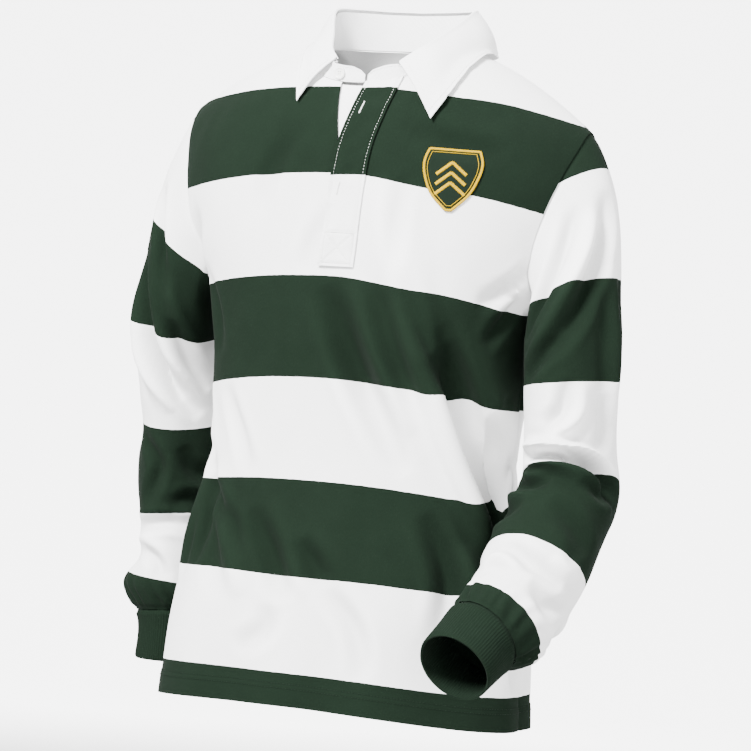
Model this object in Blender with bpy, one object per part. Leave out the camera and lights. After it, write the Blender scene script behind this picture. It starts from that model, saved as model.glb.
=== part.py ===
"""Long-sleeved rugby shirt, worn by nobody: the cloth keeps the hollow form of a standing figure.

Metres, +Z up. The front faces -Y and the wearer's left is +X. The origin is in the middle of the
neck opening, level with the high points of the shoulder seams, where a wearer's shoulders hold it.
"""

import math

import bmesh
import bpy
import numpy as np
from mathutils import Matrix, Vector

# ---- driving dimensions -------------------------------------------------------------------
SEAM = 0.0003            # gap between two pieces that are sewn together
JERSEY = 0.0014          # heavy single jersey of the body and sleeves
TWILL = 0.0012           # woven twill of the collar and the under placket
RIB = 0.0020             # knitted rib of the cuffs

HEM_HEIGHT = -0.726
HEM_FRONT_RISE = 0.013         # the hem is this much higher in the middle of the front
UNDERARM_HEIGHT = -0.270
NECK_HALF_WIDTH = 0.078
NECK_FRONT_HEIGHT = -0.048
NECK_BACK_HEIGHT = 0.004
NECK_CURVE = (2.6, 0.5)        # the neckline's roundness, lengthwise and up
NECK_BACK_CROWN = 0.030        # how far the back's form would rise inside the neckline
SHOULDER_TIP_X = 0.2350
SHOULDER_DROP_LEFT = 0.086
SHOULDER_DROP_RIGHT = 0.067
SHOULDER_CURVE = 1.5           # 1 is a straight slope, more falls off later
SHOULDER_RIDGE_Y = 0.012
SHOULDER_ROUND_FRONT = 0.140   # how far below the ridge the front reaches its full depth
SHOULDER_ROUND_BACK = 0.100
SECTION_POWER = 2.25           # 2 is an ellipse, more is squarer
PROBE = 0.001                  # step along the form that its normals are measured with

# Sections of the body, each a squarish oval: half widths on either side, and where the side
# seam, the front and the back lie.
BODY_COLUMNS = ("height", "left_half", "right_half", "side_y", "front_y", "back_y")
BODY = (
    (-0.726, 0.2090, 0.2100, -0.010, -0.152, 0.125),
    (-0.690, 0.2070, 0.2085, -0.009, -0.149, 0.124),
    (-0.610, 0.2000, 0.2025, -0.007, -0.141, 0.120),
    (-0.550, 0.1890, 0.1910, -0.005, -0.134, 0.117),
    (-0.456, 0.1720, 0.1740, -0.002, -0.124, 0.112),
    (-0.380, 0.1760, 0.1780, 0.000, -0.121, 0.112),
    (-0.300, 0.1860, 0.1880, 0.004, -0.121, 0.116),
    (-0.270, 0.1960, 0.1960, 0.006, -0.121, 0.118),
    (-0.230, 0.2150, 0.2150, 0.008, -0.120, 0.120),
    (-0.176, 0.2360, 0.2360, 0.010, -0.117, 0.118),
    (-0.137, 0.2440, 0.2440, 0.012, -0.114, 0.112),
    (-0.090, 0.2500, 0.2500, 0.012, -0.110, 0.105),
    (-0.060, 0.2500, 0.2500, 0.012, -0.107, 0.101),
    (0.020, 0.2500, 0.2500, 0.012, -0.103, 0.095),
)

# How much of the section's half width the front and the back reach at the armhole.
ARMHOLE_COLUMNS = ("height", "front_reach", "back_reach")
ARMHOLE = (
    (-0.270, 1.000, 1.000),
    (-0.250, 0.950, 0.962),
    (-0.225, 0.918, 0.940),
    (-0.176, 0.903, 0.925),
    (-0.137, 0.918, 0.926),
    (-0.100, 0.938, 0.938),
    (-0.060, 0.940, 0.940),
)

# Sections of each sleeve down its middle line: x, y, z, half widths across and deep, and the
# degrees by which its outer side is lifted.
LEFT_SLEEVE = (
    (0.2350, -0.006, -0.285, 0.0490, 0.0630, 30.0),
    (0.2375, -0.006, -0.330, 0.0495, 0.0620, 18.0),
    (0.2395, -0.006, -0.380, 0.0475, 0.0610, 8.0),
    (0.2430, -0.008, -0.425, 0.0470, 0.0600, 2.0),
    (0.2500, -0.018, -0.465, 0.0510, 0.0580, 0.0),
    (0.2450, -0.048, -0.508, 0.0545, 0.0550, 0.0),
    (0.2400, -0.085, -0.553, 0.0545, 0.0540, 0.0),
    (0.2355, -0.114, -0.585, 0.0510, 0.0520, 0.0),
    (0.2300, -0.136, -0.602, 0.0520, 0.0510, 0.0),
    (0.2195, -0.156, -0.616, 0.0440, 0.0440, 0.0),
)
LEFT_CUFF_END = (0.2096, -0.203, -0.646, 0.0400, 0.0400, 0.0)
RIGHT_SLEEVE = (
    (-0.2480, 0.020, -0.285, 0.0490, 0.0620, 28.0),
    (-0.2590, 0.034, -0.335, 0.0490, 0.0610, 16.0),
    (-0.2600, 0.050, -0.385, 0.0465, 0.0600, 6.0),
    (-0.2600, 0.062, -0.430, 0.0450, 0.0590, 0.0),
    (-0.2660, 0.068, -0.490, 0.0450, 0.0580, 0.0),
    (-0.2610, 0.070, -0.560, 0.0430, 0.0550, 0.0),
    (-0.2600, 0.068, -0.595, 0.0430, 0.0530, 0.0),
    (-0.2680, 0.067, -0.622, 0.0530, 0.0540, 0.0),
    (-0.2635, 0.066, -0.647, 0.0420, 0.0430, 0.0),
)
RIGHT_CUFF_END = (-0.2620, 0.064, -0.705, 0.0385, 0.0400, 0.0)
SLEEVE_TURN_SPAN = 0.030       # a section faces the way the middle line runs over this far
CAP_STEEPNESS = ((0.0, 0.25, 0.5, 0.75, 1.0), (0.9, 0.9, 1.3, 0.9, 0.9))  # at turns round it
CAP_END_PULL = 0.9             # how strongly the cap keeps to the first section's direction

# Largest folds of the body. Angles go round from the middle of the front, + to the wearer's
# left. A fold runs straight between its two ends: degrees and height of each, then its half
# width and its depth inwards.
FOLDS = (
    (34.0, -0.290, 88.0, -0.560, 0.030, 0.012),    # the front falls over this one
    (22.0, -0.280, 78.0, -0.560, 0.024, -0.007),
    (-57.0, -0.440, -30.0, -0.620, 0.022, 0.006),
    (-74.0, -0.440, -84.0, -0.660, 0.022, 0.006),
    (140.0, -0.330, 118.0, -0.600, 0.030, 0.010),
    (-142.0, -0.340, -120.0, -0.620, 0.030, 0.010),
    (172.0, -0.420, 160.0, -0.700, 0.026, 0.007),
)
FOLD_RADIUS = 0.18             # of the round that a fold's degrees are measured on
FOLD_FADE = 0.25               # share of a fold's length that it fades in over at each end

# Each half of the collar, from the front to the middle of the back: how far along the neckline
# a row stands, the point of the fold that the stand ends at, and the fall's outer edge.
COLLAR_LEFT = (
    (0.20, 0.0425, -0.072, -0.028, 0.095, -0.098, -0.087),
    (0.33, 0.0650, -0.060, -0.009, 0.105, -0.072, -0.060),
    (0.45, 0.0770, -0.030, 0.010, 0.110, -0.030, -0.030),
    (0.55, 0.0830, 0.000, 0.028, 0.113, 0.008, -0.006),
    (0.64, 0.0830, 0.022, 0.039, 0.112, 0.034, -0.004),
    (0.76, 0.0730, 0.050, 0.044, 0.092, 0.064, -0.004),
    (0.88, 0.0410, 0.070, 0.046, 0.050, 0.086, -0.002),
    (1.00, 0.0000, 0.076, 0.046, 0.000, 0.093, -0.001),
)
COLLAR_RIGHT = (
    (0.20, -0.0340, -0.066, -0.024, -0.065, -0.094, -0.072),
    (0.33, -0.0500, -0.047, -0.010, -0.080, -0.062, -0.036),
    (0.45, -0.0620, -0.022, 0.010, -0.091, -0.030, -0.014),
    (0.55, -0.0735, 0.000, 0.028, -0.098, 0.005, -0.008),
    (0.64, -0.0780, 0.015, 0.040, -0.104, 0.028, -0.005),
    (0.76, -0.0670, 0.046, 0.045, -0.087, 0.060, -0.005),
    (0.88, -0.0380, 0.068, 0.046, -0.048, 0.085, -0.003),
    (1.00, 0.0000, 0.076, 0.046, 0.000, 0.093, -0.001),
)
STAND_ENDS_X = (0.0055, 0.0085)     # where the right and the left end of the stand stop
STAND_FRONT = ((0.03, 0.009), (0.05, 0.014), (0.09, 0.018), (0.20, 0.019))  # along, height
STAND_TURN = (0.12, 0.20)           # along the neckline, where the stand starts to be folded
STAND_GAP = 0.0005                  # of the stand over the neckline
FALL_LIFT = (0.0032, 0.0025)        # over the stand's top: the fall's inner edge and its fold
FALL_OUT = (-0.0008, 0.0036)        # outwards, likewise
FALL_CLEARANCE = 0.0045             # of the fall over the body
FALL_BULGE = 0.005
FALL_STEPS = 13                     # columns of each half
FALL_LOWEST = -0.150                # no part of it is lower than this
CLEARING_ROUNDS = 3
CLEARING_SAMPLES = 12               # nearest points of the body that each point is tested on

# The slit in the front and the two plackets, by height: where the slit's right edge and the
# top placket's free edge are.
PLACKET_COLUMNS = ("height", "slit_right", "top_edge")
PLACKET = (
    (-0.250, -0.0040, -0.0120),
    (-0.180, -0.0040, -0.0090),
    (-0.118, -0.0050, -0.0040),
    (-0.080, -0.0140, 0.0030),
    (-0.048, -0.0220, 0.0080),
    (0.010, -0.0260, 0.0090),
)
SLIT_LEFT = 0.0195
PLACKET_BOTTOM = -0.248
PLACKET_WIDTH = 0.040
PLACKET_THICKNESS = 0.0020
PLACKET_GAPS = (0.0016, 0.0006)     # over the front, at its free edge and where it is sewn down
UNDER_PLACKET_GAP = 0.0016          # behind the front
UNDER_PLACKET_WIDTH = 0.040
UNDER_PLACKET_LAP = 0.007           # how far it goes behind the slit's edge
UNDER_PLACKET_SHORT = 0.001         # how far under the neckline it ends

BUTTON_RADIUS = 0.0065
BUTTON_THICKNESS = 0.0020
BUTTON_TAPER = 0.92                 # its front's radius over its back's
BUTTON_SIDES = 20
COLLAR_BUTTON = (-0.0250, -0.038)   # x and height on the stand's right end
UNDER_BUTTONS = ((0.0095, -0.078), (0.0060, -0.165))

BADGE_X = 0.1250
BADGE_TOP = -0.118
BADGE_HEIGHT = 0.066
BADGE_THICKNESS = 0.0012
BADGE_COLUMNS = ("down", "half_width")
BADGE = ((0.0, 0.026), (0.22, 0.030), (0.50, 0.027), (0.75, 0.019), (1.0, 0.003))

# ---- counts -------------------------------------------------------------------------------
NECK_COLUMNS = 4               # columns from the slit to the neck's corner
SHOULDER_COLUMNS = 6           # columns from there to the armhole
NECK_CROWDING = 0.8            # under 1 crowds the neck's columns towards its corner
LOW_ROWS = 11                  # rows from the hem to the underarm
HIGH_ROWS = (0.0, 0.15, 0.32, 0.48, 0.62, 0.75, 0.86, 0.94, 1.0)
ROW_LIFT = 0.9                 # how far the high rows are drawn up towards the shoulder
ROW_LIFT_SPREAD = 0.5          # the share of the way out from which they are drawn up fully
SLIT_ROW = LOW_ROWS + 1        # the slit in the front starts at this row
CAP_ROWS = 4                   # rows from the armhole to the sleeve's first section
SLEEVE_ROWS = 16
CUFF_ROWS = 2
FALL_ROWS = (0.0, 0.25, 0.50, 0.75, 1.0)
PLACKET_ROWS = 18
PLACKET_STEPS = 4
BADGE_ROWS = 8
BADGE_STEPS = 6

COLOURS = {
    "bottle_green": (0.028, 0.068, 0.040, 1.0),
    "white": (0.86, 0.86, 0.85, 1.0),
    "button_white": (0.88, 0.88, 0.86, 1.0),
}


# ---- numbers ------------------------------------------------------------------------------
def column(table, names, name):
    return np.array([row[names.index(name)] for row in table], float)


def smooth_step(value):
    value = np.clip(value, 0.0, 1.0)
    return value * value * (3.0 - 2.0 * value)


def through(knots, values, at):
    """A smooth curve through values at rising knots, read at other places."""
    knots = np.asarray(knots, float)
    values = np.asarray(values, float)
    at = np.clip(np.asarray(at, float), knots[0], knots[-1])
    flat = values.ndim == 1
    values = values.reshape(len(knots), -1)
    slope = np.gradient(values, knots, axis=0)
    index = np.clip(np.searchsorted(knots, at, side="right") - 1, 0, len(knots) - 2)
    width = knots[index + 1] - knots[index]
    t = ((at - knots[index]) / width)[..., None]
    width = width[..., None]
    made = (
        (2 * t**3 - 3 * t**2 + 1) * values[index]
        + (t**3 - 2 * t**2 + t) * width * slope[index]
        + (-2 * t**3 + 3 * t**2) * values[index + 1]
        + (t**3 - t**2) * width * slope[index + 1]
    )
    return made[..., 0] if flat else made


def unit(vectors):
    return vectors / np.maximum(np.linalg.norm(vectors, axis=-1, keepdims=True), 1e-12)


def running_length(points):
    steps = np.linalg.norm(np.diff(points, axis=0), axis=1)
    return np.concatenate([[0.0], np.cumsum(steps)])


def body_value(name, height):
    return through(
        column(BODY, BODY_COLUMNS, "height"), column(BODY, BODY_COLUMNS, name), height
    )


def placket_value(name, height):
    return through(
        column(PLACKET, PLACKET_COLUMNS, "height"), column(PLACKET, PLACKET_COLUMNS, name), height
    )


# ---- the body's form ----------------------------------------------------------------------
def shoulder_height(x, back):
    """Height of the shoulder seam's line, and of the form inside the neckline."""
    drop = np.where(x >= 0, SHOULDER_DROP_LEFT, SHOULDER_DROP_RIGHT)
    along = (np.abs(x) - NECK_HALF_WIDTH) / (SHOULDER_TIP_X - NECK_HALF_WIDTH)
    crown = NECK_BACK_CROWN if back else 0.0
    inside = crown * (1.0 - np.clip(np.abs(x) / NECK_HALF_WIDTH, 0.0, 1.0) ** 2)
    return inside - drop * np.clip(along, 0.0, 1.0) ** SHOULDER_CURVE


def half_width(x_sign, height):
    left = body_value("left_half", height)
    right = body_value("right_half", height)
    return np.where(x_sign >= 0, left, right)


def edge_x(x_sign, height, back):
    """Where a panel ends: at the side seam, or at the armhole above the underarm."""
    reach = through(
        column(ARMHOLE, ARMHOLE_COLUMNS, "height"),
        column(ARMHOLE, ARMHOLE_COLUMNS, "back_reach" if back else "front_reach"),
        height,
    )
    return half_width(x_sign, height) * np.where(height < UNDERARM_HEIGHT, 1.0, reach)


def fold_depth(angle_deg, height):
    """How far the folds draw the cloth in at an angle round the body and a height."""
    depth = np.zeros(np.broadcast(angle_deg, height).shape)
    metres_per_degree = math.radians(FOLD_RADIUS)
    for from_deg, from_height, to_deg, to_height, reach, deep in FOLDS:
        run = np.array([(to_deg - from_deg) * metres_per_degree, to_height - from_height])
        dx = (angle_deg - from_deg) * metres_per_degree
        dz = height - from_height
        along = (dx * run[0] + dz * run[1]) / (run @ run)
        across = np.abs(dx * run[1] - dz * run[0]) / math.hypot(*run)
        fade = smooth_step(along / FOLD_FADE) * smooth_step((1.0 - along) / FOLD_FADE)
        depth = depth + deep * fade * (1.0 - smooth_step(across / reach))
    return depth


def body_point(x, height, back):
    """A point of the body's outer surface, on its front or its back."""
    side = body_value("side_y", height)
    far = body_value("back_y" if back else "front_y", height)
    half = half_width(np.sign(x), height)
    share = np.clip(np.abs(x) / half, 0.0, 1.0)
    full = (1.0 - share**SECTION_POWER) ** (1.0 / SECTION_POWER)
    y = side + (far - side) * full
    angle = np.degrees(np.arctan2(share, np.maximum(full, 1e-9))) * np.where(x < 0, -1, 1)
    if back:
        angle = np.where(x < 0, -180.0, 180.0) - angle
    inwards = fold_depth(angle, height)
    x_made = x - inwards * np.sign(x) * share
    y = y - inwards * full * (1.0 if back else -1.0)
    rounding = SHOULDER_ROUND_BACK if back else SHOULDER_ROUND_FRONT
    below = np.clip((shoulder_height(x, back) - height) / rounding, 0.0, 1.0)
    turn = np.sqrt(1.0 - (1.0 - below) ** 2)
    y = SHOULDER_RIDGE_Y + (y - SHOULDER_RIDGE_Y) * turn
    return np.stack(np.broadcast_arrays(x_made, y, height), axis=-1)


def neck_height(x, back):
    low = NECK_BACK_HEIGHT if back else NECK_FRONT_HEIGHT
    share = np.clip(np.abs(x) / NECK_HALF_WIDTH, 0.0, 1.0)
    return low * (1.0 - share ** NECK_CURVE[0]) ** NECK_CURVE[1]


def over_body(x, height, out, back=False):
    """Points at a distance outside the body's outer surface, and the normals there."""
    x = np.asarray(x, float)
    height = np.asarray(height, float)
    point = body_point(x, height, back)
    across = body_point(x + PROBE, height, back) - body_point(x - PROBE, height, back)
    up = body_point(x, height + PROBE, back) - body_point(x, height - PROBE, back)
    normal = unit(np.cross(across, up)) * (-1.0 if back else 1.0)
    return point + normal * np.asarray(out, float)[..., None], normal


# ---- the front and the back ---------------------------------------------------------------
def column_x(side, spread, height, back):
    """The x of a column at a share of the way from the slit's top to the panel's edge."""
    start = SLIT_LEFT if side > 0 else placket_value("slit_right", NECK_FRONT_HEIGHT)
    return start + spread * (side * edge_x(side, height, back) - start)


def panel_columns(side, back):
    """For one half of a panel: each column's share of the way out, and the height of its top."""
    tip = -(SHOULDER_DROP_LEFT if side > 0 else SHOULDER_DROP_RIGHT)
    start = column_x(side, 0.0, tip, back)
    tip_x = column_x(side, 1.0, tip, back)
    corner = (side * NECK_HALF_WIDTH - start) / (tip_x - start)
    inner = np.linspace(0.0, 1.0, NECK_COLUMNS + 1) ** NECK_CROWDING * corner
    outer = corner + (1.0 - corner) * np.linspace(0.0, 1.0, SHOULDER_COLUMNS + 1)[1:]
    spread = np.concatenate([inner, outer])
    x = column_x(side, spread, tip, back)
    top = np.where(
        np.arange(len(spread)) > NECK_COLUMNS, shoulder_height(x, back), neck_height(x, back)
    )
    return spread, top


def slit_shift(side, spread, height, back):
    """How far a column is drawn over because the slit narrows downwards."""
    if back or side > 0:
        return 0.0
    moved = placket_value("slit_right", height) - placket_value("slit_right", NECK_FRONT_HEIGHT)
    return moved * (1.0 - spread / spread[NECK_COLUMNS]).clip(0.0, 1.0)


def panel_half(side, back):
    spread, top = panel_columns(side, back)
    tip = top[-1]
    rows = []
    for share in np.linspace(0.0, 1.0, LOW_ROWS + 1)[:-1]:
        flat = column_x(side, spread, HEM_HEIGHT, back)
        rise = 0.0 if back else HEM_FRONT_RISE * (1.0 - (flat / flat[-1]) ** 2)
        heights = HEM_HEIGHT + rise + (UNDERARM_HEIGHT - HEM_HEIGHT - rise) * share
        x = column_x(side, spread, heights, back)
        rows.append(over_body(x + slit_shift(side, spread, heights, back), heights, 0.0, back))
    for share in HIGH_ROWS:
        lift = ROW_LIFT * smooth_step(spread / ROW_LIFT_SPREAD)
        climb = share + (1.0 - share) * share * lift
        heights = UNDERARM_HEIGHT + (top - UNDERARM_HEIGHT) * climb
        x = column_x(side, spread, np.minimum(heights, tip), back)
        rows.append(over_body(x + slit_shift(side, spread, heights, back), heights, 0.0, back))
    return np.moveaxis(np.array(rows), 1, 0)


def panel_grid(back):
    """Outer points and normals of the front or the back, rows from the hem up, columns to +X."""
    return np.concatenate([panel_half(-1, back)[:, :, ::-1], panel_half(1, back)], axis=2)


def armhole(front, back, side):
    """The armhole as a loop: from the underarm up the front, over the shoulder, down the back."""
    end = -1 if side > 0 else 0
    up = front[LOW_ROWS:, end]
    down = back[LOW_ROWS:, end][::-1]
    return np.concatenate([up, down[1:-1]])


# ---- the sleeves --------------------------------------------------------------------------
def sleeve_section(rows, at, turns):
    """Points round a sleeve's section, and the way on from it. at counts the table's rows.

    turns is 0 at the underarm and a quarter at the front.
    """
    rows = np.array(rows, float)
    side = math.copysign(1.0, rows[0, 0])
    knots = running_length(rows[:, :3])
    place = np.interp(at, np.arange(len(rows)), knots)
    value = through(knots, rows, np.array([place]))[0]
    span = np.array([-SLEEVE_TURN_SPAN, SLEEVE_TURN_SPAN])
    near = through(knots, rows[:, :3], place + span)
    down = unit(near[1] - near[0])
    out = np.array([side, 0.0, 0.0])
    out = unit(out - (out @ down) * down)
    ahead = np.array([0.0, -1.0, 0.0])
    ahead = unit(ahead - (ahead @ down) * down - (ahead @ out) * out)
    angle = 2 * math.pi * np.asarray(turns)[:, None]
    lean = math.tan(math.radians(value[5]))
    sideways = -value[3] * np.cos(angle)
    points = value[:3] + sideways * (out - lean * down) + value[4] * np.sin(angle) * ahead
    return points, down


def seam_turns(seam):
    """For each armhole point, how far round the sleeve it lies, by its place along the seam."""
    lengths = running_length(np.concatenate([seam, seam[:1]]))
    half = int(np.argmax(seam[:, 2]))
    turns = np.where(
        np.arange(len(seam)) <= half,
        0.5 * lengths[:-1] / lengths[half],
        0.5 + 0.5 * (lengths[:-1] - lengths[half]) / (lengths[-1] - lengths[half]),
    )
    return turns


def sleeve_grid(rows, seam):
    """Outer points of a sleeve: rows from the armhole to the cuff, columns round it."""
    side = math.copysign(1.0, rows[0][0])
    count = len(seam)
    even = np.arange(count) / count
    uneven = seam_turns(seam)
    first, down = sleeve_section(rows, 0.0, uneven)
    steep = np.interp(uneven, *CAP_STEEPNESS)
    toward = unit(np.stack([np.full(count, side), np.zeros(count), -steep], axis=-1))
    reach = np.linalg.norm(first - seam, axis=1)[:, None]
    made = []
    for step in range(CAP_ROWS):
        t = step / CAP_ROWS
        made.append(
            (2 * t**3 - 3 * t**2 + 1) * seam
            + (t**3 - 2 * t**2 + t) * reach * toward
            + (-2 * t**3 + 3 * t**2) * first
            + (t**3 - t**2) * reach * down * CAP_END_PULL
        )
    for step in range(SLEEVE_ROWS + 1):
        share = step / SLEEVE_ROWS
        turns = uneven + (even - uneven) * smooth_step(share * 2.0)
        made.append(sleeve_section(rows, share * (len(rows) - 2), turns)[0])
    return np.array(made)


def cuff_grid(rows, count):
    """Outer points of a cuff, from the sleeve's end on."""
    even = np.arange(count) / count
    last = len(rows) - 2
    first, down = sleeve_section(rows, last, even)
    made = [first + down * SEAM]
    for step in range(1, CUFF_ROWS + 1):
        made.append(sleeve_section(rows, last + step / CUFF_ROWS, even)[0])
    return np.array(made)


# ---- meshes -------------------------------------------------------------------------------
def grid_normals(grid, loop=False):
    """Unit normals of a grid of points, along rows x columns."""
    if loop:
        around = np.roll(grid, -1, axis=1) - np.roll(grid, 1, axis=1)
    else:
        around = np.gradient(grid, axis=1)
    along = np.gradient(grid, axis=0)
    return unit(np.cross(around, along))


def wall(name, colour, outer, inwards, thickness, loop=False, cut_out=()):
    """A closed wall between a grid of outer points and the same points moved inwards."""
    rows, columns = outer.shape[:2]
    points = np.concatenate([outer.reshape(-1, 3), (outer + inwards * thickness).reshape(-1, 3)])
    under = rows * columns
    faces = []
    rims = {}
    for r in range(rows - 1):
        for c in range(columns if loop else columns - 1):
            if (r, c) in cut_out:
                continue
            d = (c + 1) % columns
            ring = [r * columns + c, r * columns + d, (r + 1) * columns + d, (r + 1) * columns + c]
            corner = points[ring]
            if np.linalg.norm(corner[0] - corner[2]) > np.linalg.norm(corner[1] - corner[3]):
                ring = ring[1:] + ring[:1]
            for corners in (ring[:3], [ring[0]] + ring[2:]):
                faces.append(corners)
                faces.append([i + under for i in reversed(corners)])
            for a, b in zip(ring, ring[1:] + ring[:1]):
                if rims.pop((b, a), None) is None:
                    rims[(a, b)] = True
    for a, b in rims:
        faces.append([b, a, a + under, b + under])
    used = sorted({i for face in faces for i in face})
    place = {old: new for new, old in enumerate(used)}
    mesh = bpy.data.meshes.new(name)
    mesh.from_pydata(
        [tuple(points[i]) for i in used], [], [[place[i] for i in face] for face in faces]
    )
    mesh.update()
    return finish(bpy.data.objects.new(name, mesh), colour)


def finish(obj, colour):
    obj.data.materials.append(material(colour))
    bpy.data.collections["rugby_shirt"].objects.link(obj)
    obj.data.shade_smooth()
    obj.data.set_sharp_from_angle(angle=math.radians(50))
    return obj


def material(name):
    made = bpy.data.materials.get(name)
    if made is None:
        made = bpy.data.materials.new(name)
        made.use_nodes = True
        shader = made.node_tree.nodes["Principled BSDF"]
        shader.inputs["Base Color"].default_value = COLOURS[name]
        shader.inputs["Roughness"].default_value = 0.45 if name == "button_white" else 0.9
        shader.inputs["Metallic"].default_value = 0.0
    return made


# ---- pieces -------------------------------------------------------------------------------
def make_sleeve(side_name, rows, front, back, front_out, back_out):
    """One sleeve and its cuff. The panels take the sleeve's mitre along the armhole."""
    side = math.copysign(1.0, rows[0][0])
    end = -1 if side > 0 else 0
    seam = armhole(front, back, side)
    grid = sleeve_grid(rows, seam)
    out = grid_normals(grid, loop=True) * -side
    rise = len(front) - LOW_ROWS
    edge = np.concatenate([front_out[LOW_ROWS:, end], back_out[LOW_ROWS:, end][::-1][1:-1]])
    shared = unit(edge + out[0])
    out[0] = shared
    front_out[LOW_ROWS:, end] = shared[:rise]
    back_out[LOW_ROWS:, end] = np.concatenate([shared[rise - 1:], shared[:1]])[::-1]
    grid[0] += unit(grid[1] - grid[0]) * SEAM
    turned = slice(None) if side < 0 else slice(None, None, -1)
    wall("sleeve_" + side_name, "white", grid[:, turned], -out[:, turned], JERSEY, loop=True)
    cuff = cuff_grid(rows, len(seam))
    cuff_out = grid_normals(cuff, loop=True) * -side
    wall("cuff_" + side_name, "bottle_green", cuff[:, turned], -cuff_out[:, turned], RIB, loop=True)


def make_body_and_sleeves():
    front, front_out = panel_grid(back=False)
    back, back_out = panel_grid(back=True)
    for end in (-1, 0):
        shared = unit(front_out[: LOW_ROWS + 1, end] + back_out[: LOW_ROWS + 1, end])
        front_out[: LOW_ROWS + 1, end] = shared
        back_out[: LOW_ROWS + 1, end] = shared
    shoulder = np.zeros(front.shape[1], bool)
    shoulder[: SHOULDER_COLUMNS + 1] = True
    shoulder[-SHOULDER_COLUMNS - 1:] = True
    shared = unit(front_out[-1, shoulder] + back_out[-1, shoulder])
    front_out[-1, shoulder] = shared
    back_out[-1, shoulder] = shared

    left = LEFT_SLEEVE + (LEFT_CUFF_END,)
    right = RIGHT_SLEEVE + (RIGHT_CUFF_END,)
    make_sleeve("left", left, front, back, front_out, back_out)
    make_sleeve("right", right, front, back, front_out, back_out)

    half = SEAM / 2
    for end in (0, -1):
        front[: LOW_ROWS + 1, end, 1] -= half
        back[: LOW_ROWS + 1, end, 1] += half
    front[-1, shoulder, 1] -= half
    back[-1, shoulder, 1] += half

    middle = NECK_COLUMNS + SHOULDER_COLUMNS
    slit = {(r, middle) for r in range(SLIT_ROW, len(front) - 1)}
    wall("front", "white", front, -front_out, JERSEY, cut_out=slit)
    wall("back", "white", back[:, ::-1], -back_out[:, ::-1], JERSEY)
    return front, back, front_out, back_out


def neckline(front, back, side):
    """The neckline's points on one side, from the slit round to the middle of the back."""
    middle = NECK_COLUMNS + SHOULDER_COLUMNS
    if side > 0:
        ahead = front[-1, middle + 1: middle + 2 + NECK_COLUMNS]
        behind = back[-1, middle + 1: middle + 2 + NECK_COLUMNS]
    else:
        ahead = front[-1, middle - NECK_COLUMNS: middle + 1][::-1]
        behind = back[-1, middle - NECK_COLUMNS: middle + 1][::-1]
    centre = body_point(np.array(0.0), np.array(NECK_BACK_HEIGHT), back=True)
    return np.concatenate([ahead, behind[::-1][1:], centre[None]])


def half_stand(front, back, side, table):
    """Stand and fall of one half: their points from the front end to the middle of the back."""
    end_x = STAND_ENDS_X[1] if side > 0 else STAND_ENDS_X[0]
    start = neckline(front, back, side)
    lead_x = np.linspace(end_x, start[0, 0], 4 if side < 0 else 3)[:-1]
    lead = body_point(lead_x, neck_height(lead_x, back=False), back=False)
    base = np.concatenate([lead, start])
    centre = body_point(np.array([0.0]), np.array([NECK_FRONT_HEIGHT]), back=False)[0]
    lengths = running_length(base)
    lead_in = np.linalg.norm(base[0] - centre) * np.sign((base[0] - centre)[0] * side)
    along = (lengths + lead_in) / (lengths[-1] + lead_in)
    rows = np.array(table, float)
    fold = through(rows[:, 0], rows[:, 1:4], along)
    short = np.array(STAND_FRONT, float)
    low = base + np.array([0.0, 0.0, 1.0]) * np.interp(
        lengths / lengths[-1] + short[0, 0], short[:, 0], short[:, 1]
    )[:, None]
    turn_from, turn_to = STAND_TURN
    folded = smooth_step((along - turn_from) / (turn_to - turn_from))[:, None]
    return base, low * (1 - folded) + fold * folded


def make_stand(front, back):
    """The collar's stand, from its right front end round the neck to its left one."""
    bases, folds = [], []
    for side, table in ((-1, COLLAR_RIGHT), (1, COLLAR_LEFT)):
        base, fold = half_stand(front, back, side, table)
        bases.append(base if side < 0 else base[::-1][1:])
        folds.append(fold if side < 0 else fold[::-1][1:])
    low = np.concatenate(bases) + np.array([0.0, 0.0, STAND_GAP])
    top = np.concatenate(folds) - np.array([0.0, 0.0, SEAM])
    grid = np.array([low, (low + top) / 2, top])
    out = -grid_normals(grid)
    out[..., 2] = 0.0
    out = unit(out)
    wall("collar_stand", "white", grid[:, ::-1], -out[:, ::-1], TWILL)
    return grid, out


def finer(grid, times):
    """The grid with more points along both ways, on straight lines between its own."""
    for axis in (0, 1):
        grid = np.moveaxis(grid, axis, 0)
        at = np.linspace(0, len(grid) - 1, (len(grid) - 1) * times + 1)
        low = np.minimum(at.astype(int), len(grid) - 2)
        share = (at - low)[:, None, None]
        grid = np.moveaxis(grid[low] * (1 - share) + grid[low + 1] * share, 0, axis)
    return grid


def clear_of(points, surface, normals, gap):
    """Moves points out from a surface, given by points and normals, until they clear it."""
    flat = points.reshape(-1, 3).copy()
    for _ in range(CLEARING_ROUNDS):
        for index, point in enumerate(flat):
            away = point - surface
            near = np.argsort((away**2).sum(axis=1))[:CLEARING_SAMPLES]
            short = gap - (away[near] * normals[near]).sum(axis=1)
            worst = int(np.argmax(short))
            if short[worst] > 0:
                flat[index] = point + normals[near[worst]] * short[worst]
    return flat.reshape(points.shape)


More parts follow.
